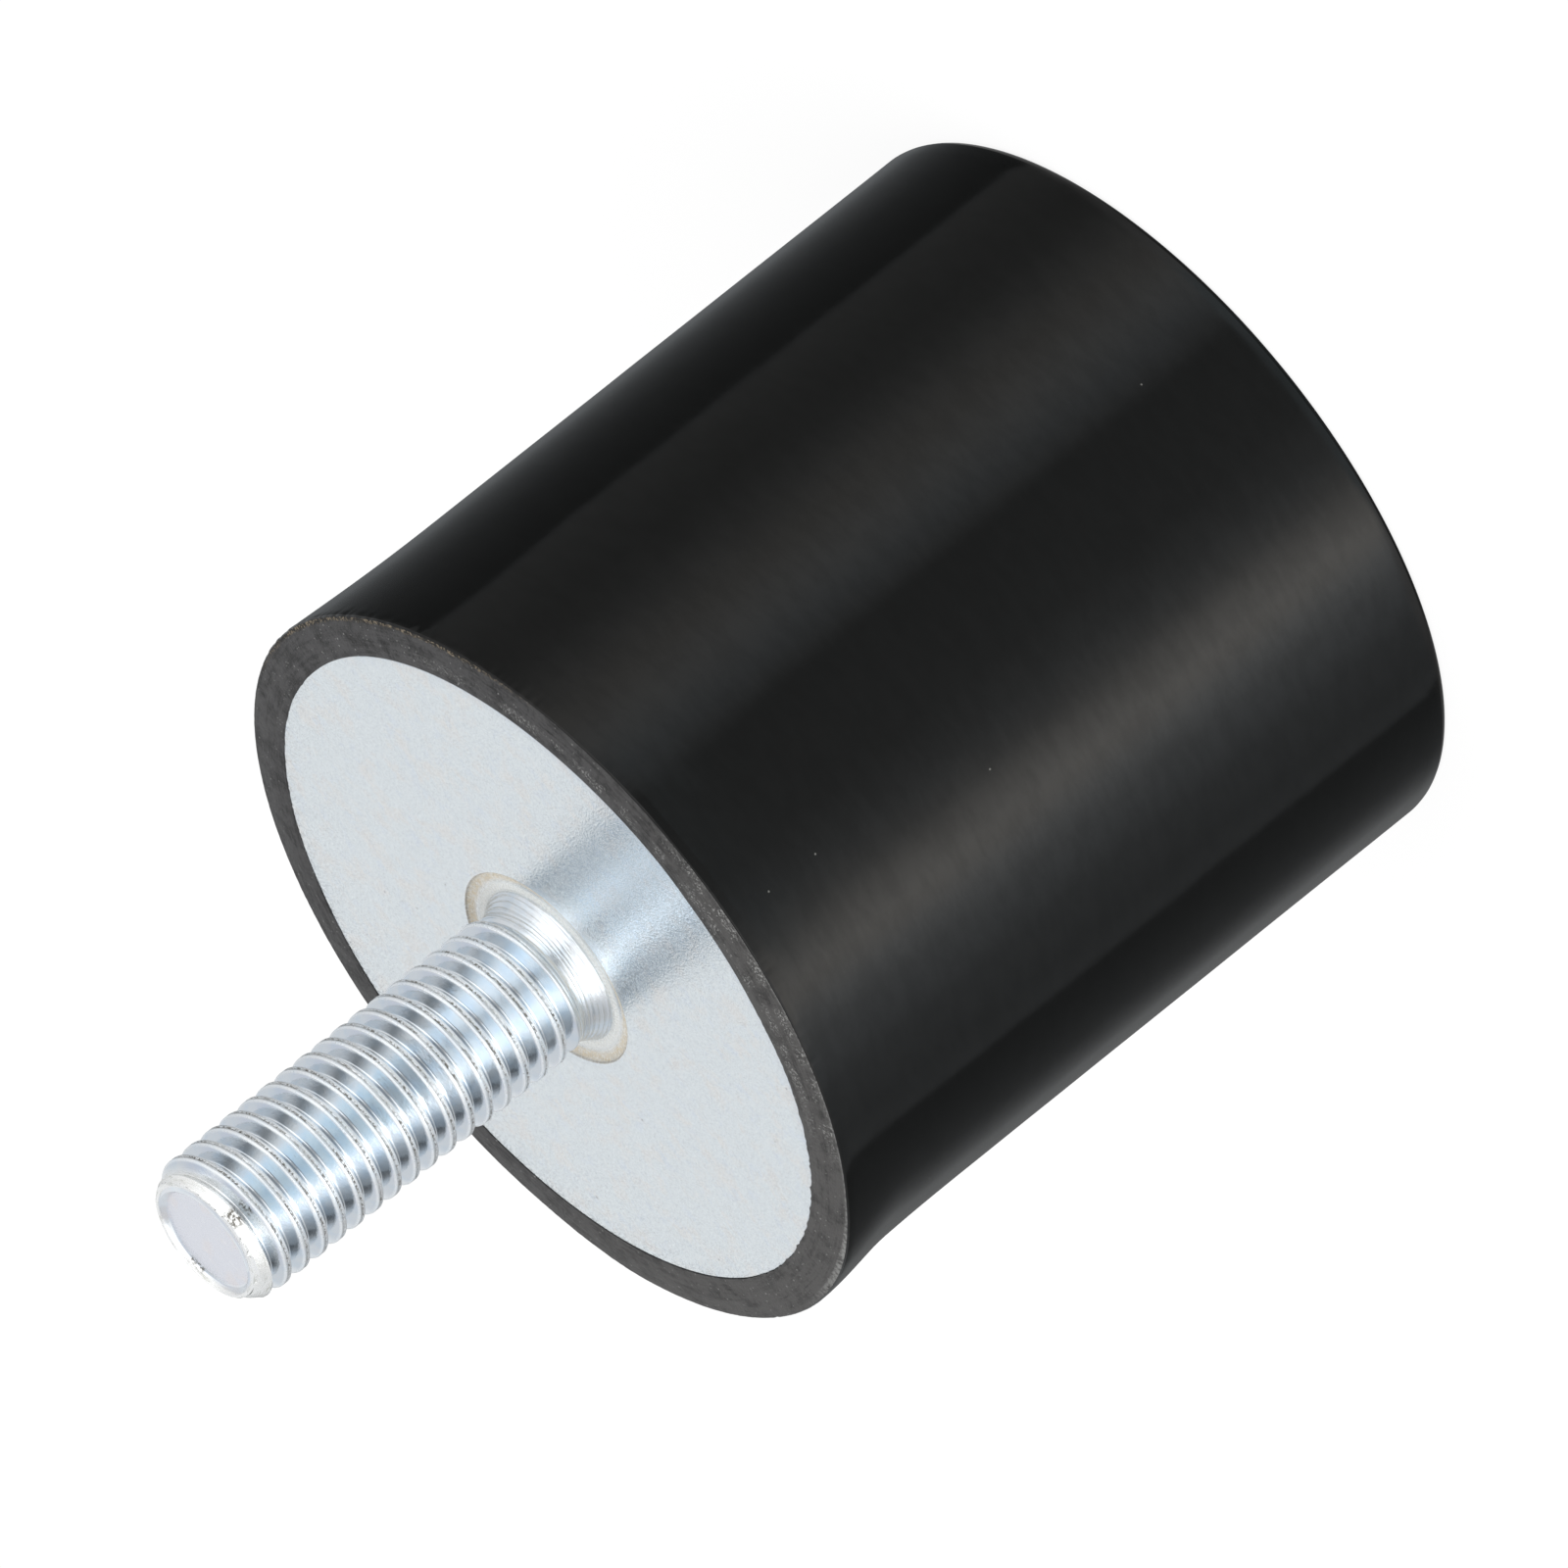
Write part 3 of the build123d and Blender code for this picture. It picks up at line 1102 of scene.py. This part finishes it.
@dataclass
class EndPlate:
    """The stamped plate: a disc with a hole for the stud and a shallow coved recess round the hole."""

    steps: int = 360
    plate_radius: float = 22.32
    plate_back: float = 47.3
    plate_face: float = 50.3
    plate_edge: float = 0.15
    shoulder_radius: float = 5.05
    foot_radius: float = 5.3
    recess_width: float = 1.55
    recess_cove: float = 1.2
    recess_depth: float = 0.3
    recess_bevel: float = 0.04
    ridge_radius: float = 5.52  # a fine ridge on the recess's floor, close to the stud's foot
    ridge_half: float = 0.10
    ridge_height: float = 0.05
    finish: SatinZinc = SatinZinc()

    @classmethod
    def from_frame(cls) -> "EndPlate":
        """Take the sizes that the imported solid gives.

        Returns:
            The piece, not yet built.
        """
        plate_radius, plate_back, plate_face = node_span("end_plate")
        return cls(plate_radius=plate_radius, plate_back=plate_back, plate_face=plate_face)

    def build(self) -> bpy.types.Object:
        """Build and dress the piece.

        Returns:
            The finished piece.
        """
        made = piece_from(self._shell(), "buffer_plate", "end_plate", 30.0)
        made.data.materials.append(self.finish.material(self))
        return made

    @property
    def recess_radius(self) -> float:
        """Radius of the recess's outer edge."""
        return self.foot_radius + self.recess_width

    @property
    def cove_radius(self) -> float:
        """Radius at which the recess's floor turns up into its cove."""
        return self.recess_radius - self.recess_cove

    def _shell(self) -> bmesh.types.BMesh:
        """Turn the section, from the hole's back edge over the face to the plate's back.

        Returns:
            The plate's mesh.
        """
        face, back, hole, outer = self.plate_face, self.plate_back, self.shoulder_radius, self.plate_radius
        floor = face - self.recess_depth
        inner_ridge, outer_ridge = self.ridge_radius - self.ridge_half, self.ridge_radius + self.ridge_half
        wall = self.recess_radius - self.recess_bevel

        section = HalfSection(hole, back)
        section.line(hole, floor, 2)
        section.line(inner_ridge, floor, 2)
        section.round((self.ridge_radius, floor + self.ridge_height), outer_ridge, floor)
        section.line(self.cove_radius, floor)
        section.round((wall, floor), wall, face - self.recess_bevel, 8)
        section.round((wall, face), self.recess_radius + self.recess_bevel / 2, face, 3)
        section.line(outer - self.plate_edge, face, 24)
        section.round((outer, face), outer, face - self.plate_edge)
        section.line(outer, back, 2)
        section.line(hole, back, 3)
        return section.turn(self.steps)


@dataclass(frozen=True)
class ThreadForm:
    """Section of the rolled thread over one pitch."""

    pitch: float = 1.5
    depth: float = 0.82
    flank: float = 30.0  # angle of each flank
    crest_half: float = 0.21  # half the width of a crest
    crest_edge: float = 0.05  # width of a crest's rounded edge
    rounding: float = 0.11  # how far that edge reaches down the flank
    pull: float = 0.6  # how far its handles reach towards the sharp corner
    crest_parts: int = 4
    root_parts: int = 5
    seam_half: float = 0.075
    seam_depth: float = 0.035

    def half(self, crest_radius: float) -> list[Point]:
        """Section from the middle of a crest to the middle of a root.

        Args:
            crest_radius: Radius of the crests.

        Returns:
            Points as the distance along the axis from the crest's middle, and the radius.
        """
        upper = self._crest()
        lower = self._root()
        (start, high), (end, low) = upper[-1], lower[0]
        wall = [(start + (end - start) * share, high + (low - high) * share) for share in (0.05, 0.95)]
        return [(along, crest_radius - deep) for along, deep in upper + wall + lower]

    def _crest(self) -> list[Point]:
        """Outline of half a crest, from the seam in its middle to the top of the flank.

        Returns:
            Points as the distance along the axis and the depth under the crest.
        """
        flat = self.crest_half - self.crest_edge
        start, corner = Vector((flat, 0.0, 0.0)), Vector((self.crest_half, 0.0, 0.0))
        slope = math.tan(math.radians(self.flank))
        end = Vector((self.crest_half + slope * self.rounding, self.rounding, 0.0))
        pulls = start.lerp(corner, self.pull), end.lerp(corner, self.pull)
        curve = interpolate_bezier(start, *pulls, end, self.crest_parts + 1)[1:]
        seam = [(0.0, self.seam_depth), (self.seam_half * 0.6, self.seam_depth * 0.8), (self.seam_half, 0.0)]
        return [*seam, (flat, 0.0), *((place.x, place.y) for place in curve)]

    def _root(self) -> list[Point]:
        """Outline of half a rounded root, from the foot of the flank to the root's middle.

        Returns:
            Points as the distance along the axis and the depth under the crest.
        """
        flank, middle = math.radians(self.flank), self.pitch / 2
        width = middle - self.crest_half - math.tan(flank) * self.depth
        radius = width * math.cos(flank) / (1.0 - math.sin(flank))
        centre = self.depth - radius
        points = []
        for part in range(self.root_parts + 1):
            swing = math.radians((90.0 - self.flank) * (1.0 - part / self.root_parts))
            points.append((middle - radius * math.sin(swing), centre + radius * math.cos(swing)))
        return points


@dataclass
class ThreadedStud:
    """The stud: rolled thread, smooth neck, coved foot, and its head behind the plate."""

    steps: int = 108
    plate_face: float = 50.3
    plate_back: float = 47.3
    stud_tip: float = 78.3
    head_radius: float = 8.9
    head_back: float = 44.8
    head_spread: float = 4.0
    head_edge: float = 0.4
    shoulder_spread: float = 0.15
    foot_spread: float = 0.4
    foot_lip: float = 0.12
    foot_parts: int = 40
    foot_curve: float = 1.7
    recess_depth: float = 0.3
    neck_relief: float = 0.3
    neck_top: float = 1.3  # height over the plate at which the neck is joined to the thread
    ring_pitch: float = 0.27  # spacing of the fine rings on the neck
    ring_depth: float = 0.019
    fade_start: float = 1.25  # height over the plate at which the thread starts to rise from the neck
    fade_end: float = 2.35  # and is full
    runout: float = 2.4  # height over the plate of the first crest on +X
    chamfer_length: float = 1.3
    tip_edge: float = 0.07
    tip_rough: float = 0.035
    tip_land: float = 0.38  # width of the lip round the hollow
    hollow_shift: Span = (-0.10, 0.30)  # how far the hollow lies off the axis, along X and Y
    land_fall: float = 0.22  # how far the wide side of the lip falls outwards
    fallen: Patch = Patch(270.0, 120.0)
    hollow_wall: float = 0.3
    hollow_depth: float = 0.38
    crest_zone: float = 0.08  # depth under the crests that counts as a crest
    crest_rough: float = 0.012
    thread: ThreadForm = ThreadForm()
    finish: ThreadZinc = ThreadZinc()

    @classmethod
    def from_frame(cls) -> "ThreadedStud":
        """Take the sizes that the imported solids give.

        Returns:
            The piece, not yet built.
        """
        head_radius, head_back, stud_tip = node_span("threaded_stud")
        _, plate_back, plate_face = node_span("end_plate")
        return cls(
            head_radius=head_radius, head_back=head_back, stud_tip=stud_tip,
            plate_back=plate_back, plate_face=plate_face,
        )

    def build(self) -> bpy.types.Object:
        """Build and dress the piece.

        Returns:
            The finished piece.
        """
        mesh = self._thread()
        self._form_ends(mesh)
        self._cut(mesh, self.neck_height, below=True)
        self._cut(mesh, self.stud_tip - self.tip_edge, below=False)
        self._finish_foot(mesh)
        self._finish_tip(mesh)
        close_up(mesh)
        made = piece_from(mesh, "buffer_stud", "threaded_stud", 38.0)
        made.data.materials.append(self.finish.material(self))
        return made

    @property
    def stud_radius(self) -> float:
        """Radius of the crests."""
        return self.head_radius - self.head_spread

    @property
    def core_radius(self) -> float:
        """Radius of the roots, where the chamfer ends at the tip."""
        return self.stud_radius - self.thread.depth

    @property
    def neck_radius(self) -> float:
        """Radius of the smooth neck."""
        return self.stud_radius - self.neck_relief

    @property
    def neck_height(self) -> float:
        """Height at which the neck is joined to the thread."""
        return self.plate_face + self.neck_top

    @property
    def first_crest(self) -> float:
        """Height of the thread's first crest on +X."""
        return self.plate_face + self.runout

    def _thread(self) -> bmesh.types.BMesh:
        """Wind one pitch of the thread's section round the axis, from below the neck to past the tip.

        Returns:
            The thread's mesh, open at both ends.
        """
        pitch = self.thread.pitch
        first = self.first_crest - 2 * pitch
        turns = math.ceil((self.stud_tip - first) / pitch) + 1
        half = self.thread.half(self.stud_radius)
        outline = [(-along, radius) for along, radius in reversed(half[1:])] + half
        mesh = bmesh.new()
        points = [mesh.verts.new((radius, 0.0, first + along)) for along, radius in outline]
        for pair in zip(points, points[1:]):
            mesh.edges.new(pair)
        wind(mesh, math.tau, self.steps, rise=pitch / self.steps)
        wind(mesh, math.tau * (turns - 1), turns - 1, rise=pitch, copies=True)
        bmesh.ops.remove_doubles(mesh, verts=mesh.verts, dist=THREAD_MERGE)
        return mesh

    def _form_ends(self, mesh: bmesh.types.BMesh) -> None:
        """Fade the thread into the neck, chamfer its tip and roughen its crests.

        Args:
            mesh: The thread's mesh.
        """
        neck, tip = self.neck_radius, self.core_radius
        slope = (self.stud_radius - tip) / self.chamfer_length
        for vert in mesh.verts:
            place = vert.co
            radius = across(place)
            if radius > self.stud_radius - self.crest_zone:
                radius += self.crest_rough * noise.noise(place * 2.7)
            strength = fade(place.z, self.plate_face + self.fade_start, self.plate_face + self.fade_end)
            radius = neck + (radius - neck) * strength
            uneven = self.tip_rough * (noise.noise(place * 1.3) + 0.5 * noise.noise(place * 4.0))
            cone = tip + slope * (self.stud_tip - place.z) + uneven
            set_across(place, min(radius, cone))

    def _cut(self, mesh: bmesh.types.BMesh, height: float, below: bool) -> None:
        """Cut the thread level at a height and drop what lies below or above."""
        everything = list(mesh.verts) + list(mesh.edges) + list(mesh.faces)
        bmesh.ops.bisect_plane(
            mesh, geom=everything, dist=1e-5, plane_co=(0, 0, height), plane_no=(0, 0, 1),
            clear_inner=below, clear_outer=not below,
        )

    def _rings(self, mesh: bmesh.types.BMesh, height: float, outline: list[Point]) -> None:
        """Carry the open end at a height on through the rings of an outline, and close it on the axis.

        Args:
            mesh: The stud's mesh.
            height: Height of the open end.
            outline: Radius and height of each ring, the last of which is drawn together.
        """
        loop = [
            edge for edge in mesh.edges
            if edge.is_boundary and all(abs(vert.co.z - height) < END_GAP for vert in edge.verts)
        ]
        verts: list[bmesh.types.BMVert] = []
        for radius, level in outline:
            grown = bmesh.ops.extrude_edge_only(mesh, edges=loop)["geom"]
            verts = [item for item in grown if isinstance(item, bmesh.types.BMVert)]
            loop = [item for item in grown if isinstance(item, bmesh.types.BMEdge)]
            for vert in verts:
                set_across(vert.co, radius)
                vert.co.z = level
        bmesh.ops.pointmerge(mesh, verts=verts, merge_co=(0.0, 0.0, outline[-1][1]))

    def _finish_foot(self, mesh: bmesh.types.BMesh) -> None:
        """Carry the neck down through its foot, the plate's hole and the head.

        Args:
            mesh: The stud's mesh.
        """
        foot, shoulder = self.stud_radius + self.foot_spread, self.stud_radius + self.shoulder_spread
        floor = self.plate_face - self.recess_depth
        lip = floor + self.foot_lip
        head, back, edge = self.head_radius, self.head_back, self.head_edge
        cove = [self._cove(foot, lip, part / self.foot_parts) for part in range(self.foot_parts + 1)]
        outline = [
            *cove, (foot, floor), (shoulder, floor), (shoulder, self.plate_back), (head, self.plate_back),
            (head, back + edge), (head - edge * 0.3, back + edge * 0.3), (head - edge, back),
            ((head - edge) / 2, back), (POLE_RADIUS, back),
        ]
        self._rings(mesh, self.neck_height, outline)
        for vert in mesh.verts:
            if lip + 0.01 < vert.co.z < self.neck_height:
                set_across(vert.co, across(vert.co) + self._ripple(vert.co))

    def _ripple(self, place: Vector) -> float:
        """How far the fine rings that the rolling left on the neck stand out.

        Args:
            place: A place on the neck.

        Returns:
            The distance at that place.
        """
        drift = noise.noise(Vector((place.x * 0.25, place.y * 0.25, place.z * 1.5)))
        phase = math.tau * (place.z / self.ring_pitch + 0.9 * drift)
        return self.ring_depth * (math.cos(phase) + 0.5 * math.cos(2.3 * phase)) * (0.7 + 0.6 * drift)

    def _cove(self, foot: float, lip: float, share: float) -> Point:
        """Point of the curve between the neck and the lip of its foot, from 0 at the neck to 1 at the lip."""
        neck, rise = self.neck_radius, self.neck_height - END_GAP - lip
        return neck + (foot - neck) * share**self.foot_curve, lip + rise * (1.0 - share)

    def _finish_tip(self, mesh: bmesh.types.BMesh) -> None:
        """Close the tip with a rounded lip and the hollow inside it.

        Args:
            mesh: The stud's mesh.
        """
        lip, top = self.core_radius, self.stud_tip
        wall = lip - self.tip_land
        floor, deep = wall - self.hollow_wall, top - self.hollow_depth
        outline = [
            (lip - 0.01, top - 0.02), (lip - 0.07, top), (wall + 0.04, top - 0.01), (wall - 0.04, top - 0.07),
            (floor + 0.06, deep + 0.05), (floor, deep + 0.01), (floor - 0.12, deep),
            *((floor * share, deep) for share in (0.8, 0.6, 0.4, 0.2)), (POLE_RADIUS, deep),
        ]
        self._rings(mesh, top - self.tip_edge, outline)
        for vert in mesh.verts:
            if vert.co.z > deep - 0.05 and across(vert.co) < lip + 0.05:
                self._settle(vert.co, lip, wall)

    def _settle(self, place: Vector, lip: float, wall: float) -> None:
        """Set the hollow off its centre, and let the wider side of its lip fall outwards.

        Args:
            place: A place on the tip, which is changed.
            lip: Radius of the lip's outer edge.
            wall: Radius of its inner edge.
        """
        radius, angle = across(place), angle_of(place)
        share = fade(radius, lip - 0.02, wall - 0.02)
        outwards = fade(radius, wall - 0.1, lip)
        place.z += 0.02 * noise.noise(place * 0.9) - 0.01
        place.z -= self.land_fall * outwards * self.fallen.at(angle)
        place.x += self.hollow_shift[0] * share
        place.y += self.hollow_shift[1] * share


@dataclass(frozen=True)
class Lamp:
    """A large soft lamp."""

    name: str
    azimuth: float
    elevation: float
    distance: float
    size: float
    watts: float

    def build(self) -> bpy.types.Object:
        """Hang the lamp so that it faces the object, unseen in reflections.

        Returns:
            The lamp.
        """
        light = bpy.data.lights.new(self.name, "AREA")
        light.shape = "DISK"
        light.size = self.size
        light.energy = self.watts
        turn, rise = math.radians(self.azimuth), math.radians(self.elevation)
        away = Vector((math.sin(turn) * math.cos(rise), -math.cos(turn) * math.cos(rise), math.sin(rise)))
        made = bpy.data.objects.new(self.name, light)
        bpy.context.scene.collection.objects.link(made)
        made.location = away * self.distance
        made.rotation_euler = (-away).to_track_quat("-Z", "Y").to_euler()
        made.visible_glossy = False
        return made


@dataclass(frozen=True)
class Floor:
    """Floor that keeps the object's shadow: white to the camera and pale to every other ray."""

    half: float = 4.0
    pale: Colour = (0.8, 0.8, 0.8)
    faint: Colour = (0.16, 0.16, 0.16)
    strength: float = 0.88

    def build(self) -> bpy.types.Object:
        """Lay the floor, hidden from reflections.

        Returns:
            The floor.
        """
        mesh = bmesh.new()
        bmesh.ops.create_grid(mesh, x_segments=1, y_segments=1, size=self.half)
        data = bpy.data.meshes.new("floor")
        mesh.to_mesh(data)
        mesh.free()
        data.materials.append(self._material())
        made = bpy.data.objects.new("floor", data)
        bpy.context.scene.collection.objects.link(made)
        made.visible_glossy = False
        return made

    def _material(self) -> bpy.types.Material:
        """Make the floor's material.

        Returns:
            The material.
        """
        material = bpy.data.materials.new("pale_floor")
        material.use_nodes = True
        sheet = NodeSheet(material.node_tree)
        pale = sheet.node("BsdfDiffuse", {"Color": self.pale})
        faint = sheet.node("BsdfDiffuse", {"Color": self.faint})
        glow = sheet.node("Emission", {"Color": WHITE, "Strength": self.strength})
        white = sheet.node("AddShader", {0: faint.outputs[0], 1: glow.outputs[0]})
        seen = sheet.node("LightPath").outputs["Is Camera Ray"]
        mixed = sheet.node("MixShader", {0: seen, 1: pale.outputs[0], 2: white.outputs[0]})
        sheet.node("OutputMaterial", {"Surface": mixed.outputs[0]})
        return material


@dataclass(frozen=True)
class Surroundings:
    """The light strips that the rubber and the zinc reflect.

    Stops are pairs of an azimuth, which is 0 at the camera and grows towards +X, and a level. A ramp holds
    the two angles between which one light gives way to the next, and its results there unless they are 0
    and 1.
    """

    ambient: float = 0.78
    # The ring just under the horizon, which the rubber's side mirrors
    around: Stops = (
        (-180.0, 0.12), (-168.0, 0.19), (-156.0, 0.29), (-146.0, 0.21), (-136.0, 0.13), (-108.0, 0.10),
        (-106.5, 0.34), (-96.0, 0.36), (-80.0, 0.64), (-64.0, 1.40), (-54.0, 2.55), (-47.0, 3.00),
        (-40.0, 2.30), (-32.0, 1.26), (-22.0, 0.74), (-10.0, 0.46), (8.0, 0.38), (20.0, 0.34),
        (25.0, 0.72), (34.0, 1.10), (41.0, 1.24), (48.0, 1.06), (58.0, 0.78), (66.0, 0.52),
        (74.0, 0.34), (82.0, 0.26), (106.5, 0.27), (108.0, 0.06), (132.0, 0.095), (150.0, 0.16),
        (162.0, 0.23), (180.0, 0.12),
    )
    # Its tint, from cool at 0 to warm at 1
    warmth: Stops = (
        (-180.0, 0.50), (-120.0, 0.25), (-70.0, 0.20), (-58.0, 0.40), (-50.0, 0.85), (-38.0, 0.80),
        (-25.0, 0.40), (0.0, 0.40), (20.0, 0.40), (30.0, 0.15), (40.0, 0.50), (52.0, 0.80),
        (70.0, 0.55), (104.0, 0.50), (108.0, 0.20), (180.0, 0.20),
    )
    cool_tint: Colour = (0.92, 1.0, 1.07)
    warm_tint: Colour = (1.05, 1.0, 0.93)
    # The glow further down, which the flanks of the thread mirror
    below: Stops = (
        (-180.0, 0.30), (-130.0, 0.33), (-111.0, 0.30), (-95.0, 0.43), (-85.0, 0.66), (-74.0, 0.91),
        (-62.0, 1.18), (-50.0, 1.48), (-37.0, 1.18), (-20.0, 0.92), (0.0, 0.78), (19.0, 1.04),
        (35.0, 1.14), (48.0, 1.06), (59.0, 0.84), (70.0, 0.60), (80.0, 0.52), (88.0, 0.52),
        (100.0, 0.56), (180.0, 0.50),
    )
    below_fade: Ramp = (-58.0, -44.0, 0.3, 1.0)  # dimmer far down
    glow: Colour = (0.87, 1.0, 1.06)
    glow_side: Ramp = (35.0, 52.0)
    glow_rise: Ramp = (-29.0, -31.3)
    dome_back: Colour = (0.93, 0.94, 0.945)
    dome_side: Colour = (0.72, 0.74, 0.76)
    dome_top: Colour = (0.66, 0.68, 0.74)
    back_turn: Ramp = (171.0, 158.0)
    back_rise: Ramp = (26.0, 44.0)
    # The front over the horizon, which the plate and the thread mirror
    front: Stops = (
        (-180.0, 0.80), (-130.0, 0.64), (-110.0, 0.66), (-98.0, 0.74), (-82.0, 1.00), (-70.0, 1.90),
        (-58.0, 2.50), (-44.0, 2.45), (-34.0, 2.20), (-22.0, 1.72), (0.0, 1.42), (19.0, 1.78),
        (38.0, 2.15), (50.0, 1.90), (60.0, 1.50), (74.0, 1.12), (84.0, 1.06), (104.0, 1.00),
        (130.0, 0.86), (180.0, 0.80),
    )
    front_rise: Ramp = (22.0, 34.0, 0.80, 1.0)
    front_turn: Ramp = (135.0, 112.0)
    front_top: Ramp = (78.0, 60.0)
    overhead: Colour = (1.28, 1.27, 1.24)
    overhead_rise: Ramp = (42.0, 56.0)
    horizon: Ramp = (-6.0, 14.0)
    # How far the horizon sinks on either side
    lifts: tuple[Ramp, Ramp] = ((70.0, 84.0, 0.0, 18.0), (-98.0, -112.0, 0.0, 11.0))
    shade: Colour = (0.40, 0.40, 0.40)
    # A dim strip ahead: its azimuth, half its width and its soft edge
    shade_band: tuple[float, float, float] = (1.0, 3.0, 13.0)
    shade_top: Ramp = (44.0, 26.0)
    shade_foot: Ramp = (-16.0, 2.0)

    def build(self) -> bpy.types.World:
        """Make the world: white to the camera, the light strips to reflections and plain to the rest.

        Returns:
            The world.
        """
        world = bpy.data.worlds.new("studio")
        world.use_nodes = True
        sheet = NodeSheet(world.node_tree)
        along = sheet.node("TexCoord").outputs["Generated"]
        x, y, z = sheet.node("SeparateXYZ", {0: along}).outputs
        azimuth = sheet.math("DEGREES", sheet.math("ARCTAN2", x, sheet.times(y, -1.0)))
        elevation = sheet.math("DEGREES", sheet.math("ARCSINE", z))
        lifted = sheet.add(elevation, sheet.add(*(sheet.step(azimuth, *lift) for lift in self.lifts)))
        lower, upper = self._lower(sheet, azimuth, elevation), self._upper(sheet, azimuth, elevation)
        strips = sheet.blend(sheet.step(lifted, *self.horizon), lower, upper)
        shaded = sheet.times(
            sheet.band(azimuth, *self.shade_band), sheet.step(elevation, *self.shade_top),
            sheet.step(elevation, *self.shade_foot),
        )
        strips = sheet.blend(shaded, strips, self.shade)
        path = sheet.node("LightPath").outputs
        plain = (self.ambient, self.ambient, self.ambient)
        colour = sheet.blend(path["Is Glossy Ray"], plain, strips)
        colour = sheet.blend(path["Is Camera Ray"], colour, WHITE)
        background = sheet.node("Background", {"Color": colour, "Strength": 1.0})
        sheet.node("OutputWorld", {"Surface": background.outputs[0]})
        world.cycles.sampling_method = "NONE"
        return world

    def _lower(self, sheet: NodeSheet, azimuth: Socket, elevation: Socket) -> Socket:
        """Light from under the horizon: a warm and cool ring that the rubber mirrors, and a glow below it.

        Args:
            sheet: The world's node tree.
            azimuth: Angle round the object.
            elevation: Angle over the horizon.

        Returns:
            The light's colour.
        """
        tint = sheet.blend(sheet.levels(azimuth, self.warmth), self.cool_tint, self.warm_tint)
        ring = sheet.lit(tint, sheet.levels(azimuth, self.around))
        level = sheet.times(sheet.levels(azimuth, self.below), sheet.step(elevation, *self.below_fade))
        aside = sheet.math("ABSOLUTE", azimuth)
        glow = sheet.lit(sheet.blend(sheet.step(aside, *self.glow_side), self.glow, WHITE), level)
        return sheet.blend(sheet.step(elevation, *self.glow_rise), ring, glow)

    def _upper(self, sheet: NodeSheet, azimuth: Socket, elevation: Socket) -> Socket:
        """Light from over the horizon: a bright front that the zinc mirrors, an overhead and a pale back.

        Args:
            sheet: The world's node tree.
            azimuth: Angle round the object.
            elevation: Angle over the horizon.

        Returns:
            The light's colour.
        """
        aside = sheet.math("ABSOLUTE", azimuth)
        back = sheet.blend(sheet.step(aside, *self.back_turn), self.dome_back, self.dome_side)
        back = sheet.blend(sheet.step(elevation, *self.back_rise), back, self.dome_top)
        front = sheet.times(sheet.levels(azimuth, self.front), sheet.step(elevation, *self.front_rise))
        front = sheet.blend(sheet.step(elevation, *self.overhead_rise), front, self.overhead)
        ahead = sheet.times(sheet.step(aside, *self.front_turn), sheet.step(elevation, *self.front_top))
        return sheet.blend(ahead, back, front)


@dataclass(frozen=True)
class Studio:
    """White room with a pale floor and two soft lamps."""

    floor: Floor = Floor()
    surroundings: Surroundings = Surroundings()
    lamps: tuple[Lamp, ...] = (
        Lamp("key_lamp", -35.0, 50.0, 0.7, 0.45, 1.6),
        Lamp("fill_lamp", 60.0, 35.0, 0.8, 0.5, 0.8),
    )

    def build(self) -> None:
        """Build the floor, the world and the lamps."""
        scene = bpy.context.scene
        scene.view_settings.view_transform = "Standard"
        self.floor.build()
        scene.world = self.surroundings.build()
        for lamp in self.lamps:
            lamp.build()


@dataclass(frozen=True)
class PhotoCamera:
    """The camera, where it stood for the photograph, rolled so that the stud points down to the left."""

    back: float = 2425.21  # distance from the axis
    height: float = 1116.19  # over the floor
    lens: float = 1035.0
    sensor: float = 36.0
    clip_metres: Span = (0.01, 50.0)
    heading: float = 0.006
    tilt: float = 65.892
    roll: float = -128.57

    def build(self) -> bpy.types.Object:
        """Make the camera and give it to the scene.

        Returns:
            The camera.
        """
        data = bpy.data.cameras.new("photo_camera")
        data.lens = self.lens
        data.sensor_width = self.sensor
        data.clip_start, data.clip_end = self.clip_metres
        made = bpy.data.objects.new("photo_camera", data)
        bpy.context.scene.collection.objects.link(made)
        turns = (
            Matrix.Rotation(math.radians(self.heading), 4, "Z")
            @ Matrix.Rotation(math.radians(self.tilt), 4, "X")
            @ Matrix.Rotation(math.radians(self.roll), 4, "Z")
        )
        made.matrix_world = Matrix.Translation((0.0, -self.back * MM, self.height * MM)) @ turns
        bpy.context.scene.camera = made
        return made


def main() -> None:
    """Build the pieces in order, then the studio and the camera."""
    logging.basicConfig(level=logging.INFO, format="%(name)s: %(message)s")
    for part in (RubberBody.from_frame(), EndPlate.from_frame(), ThreadedStud.from_frame()):
        made = part.build()
        log.info("%s: %d faces", made.name, len(made.data.polygons))
    Studio().build()
    camera = PhotoCamera().build()
    log.info("studio built, camera %s", camera.name)


if __name__ == "__main__":
    main()
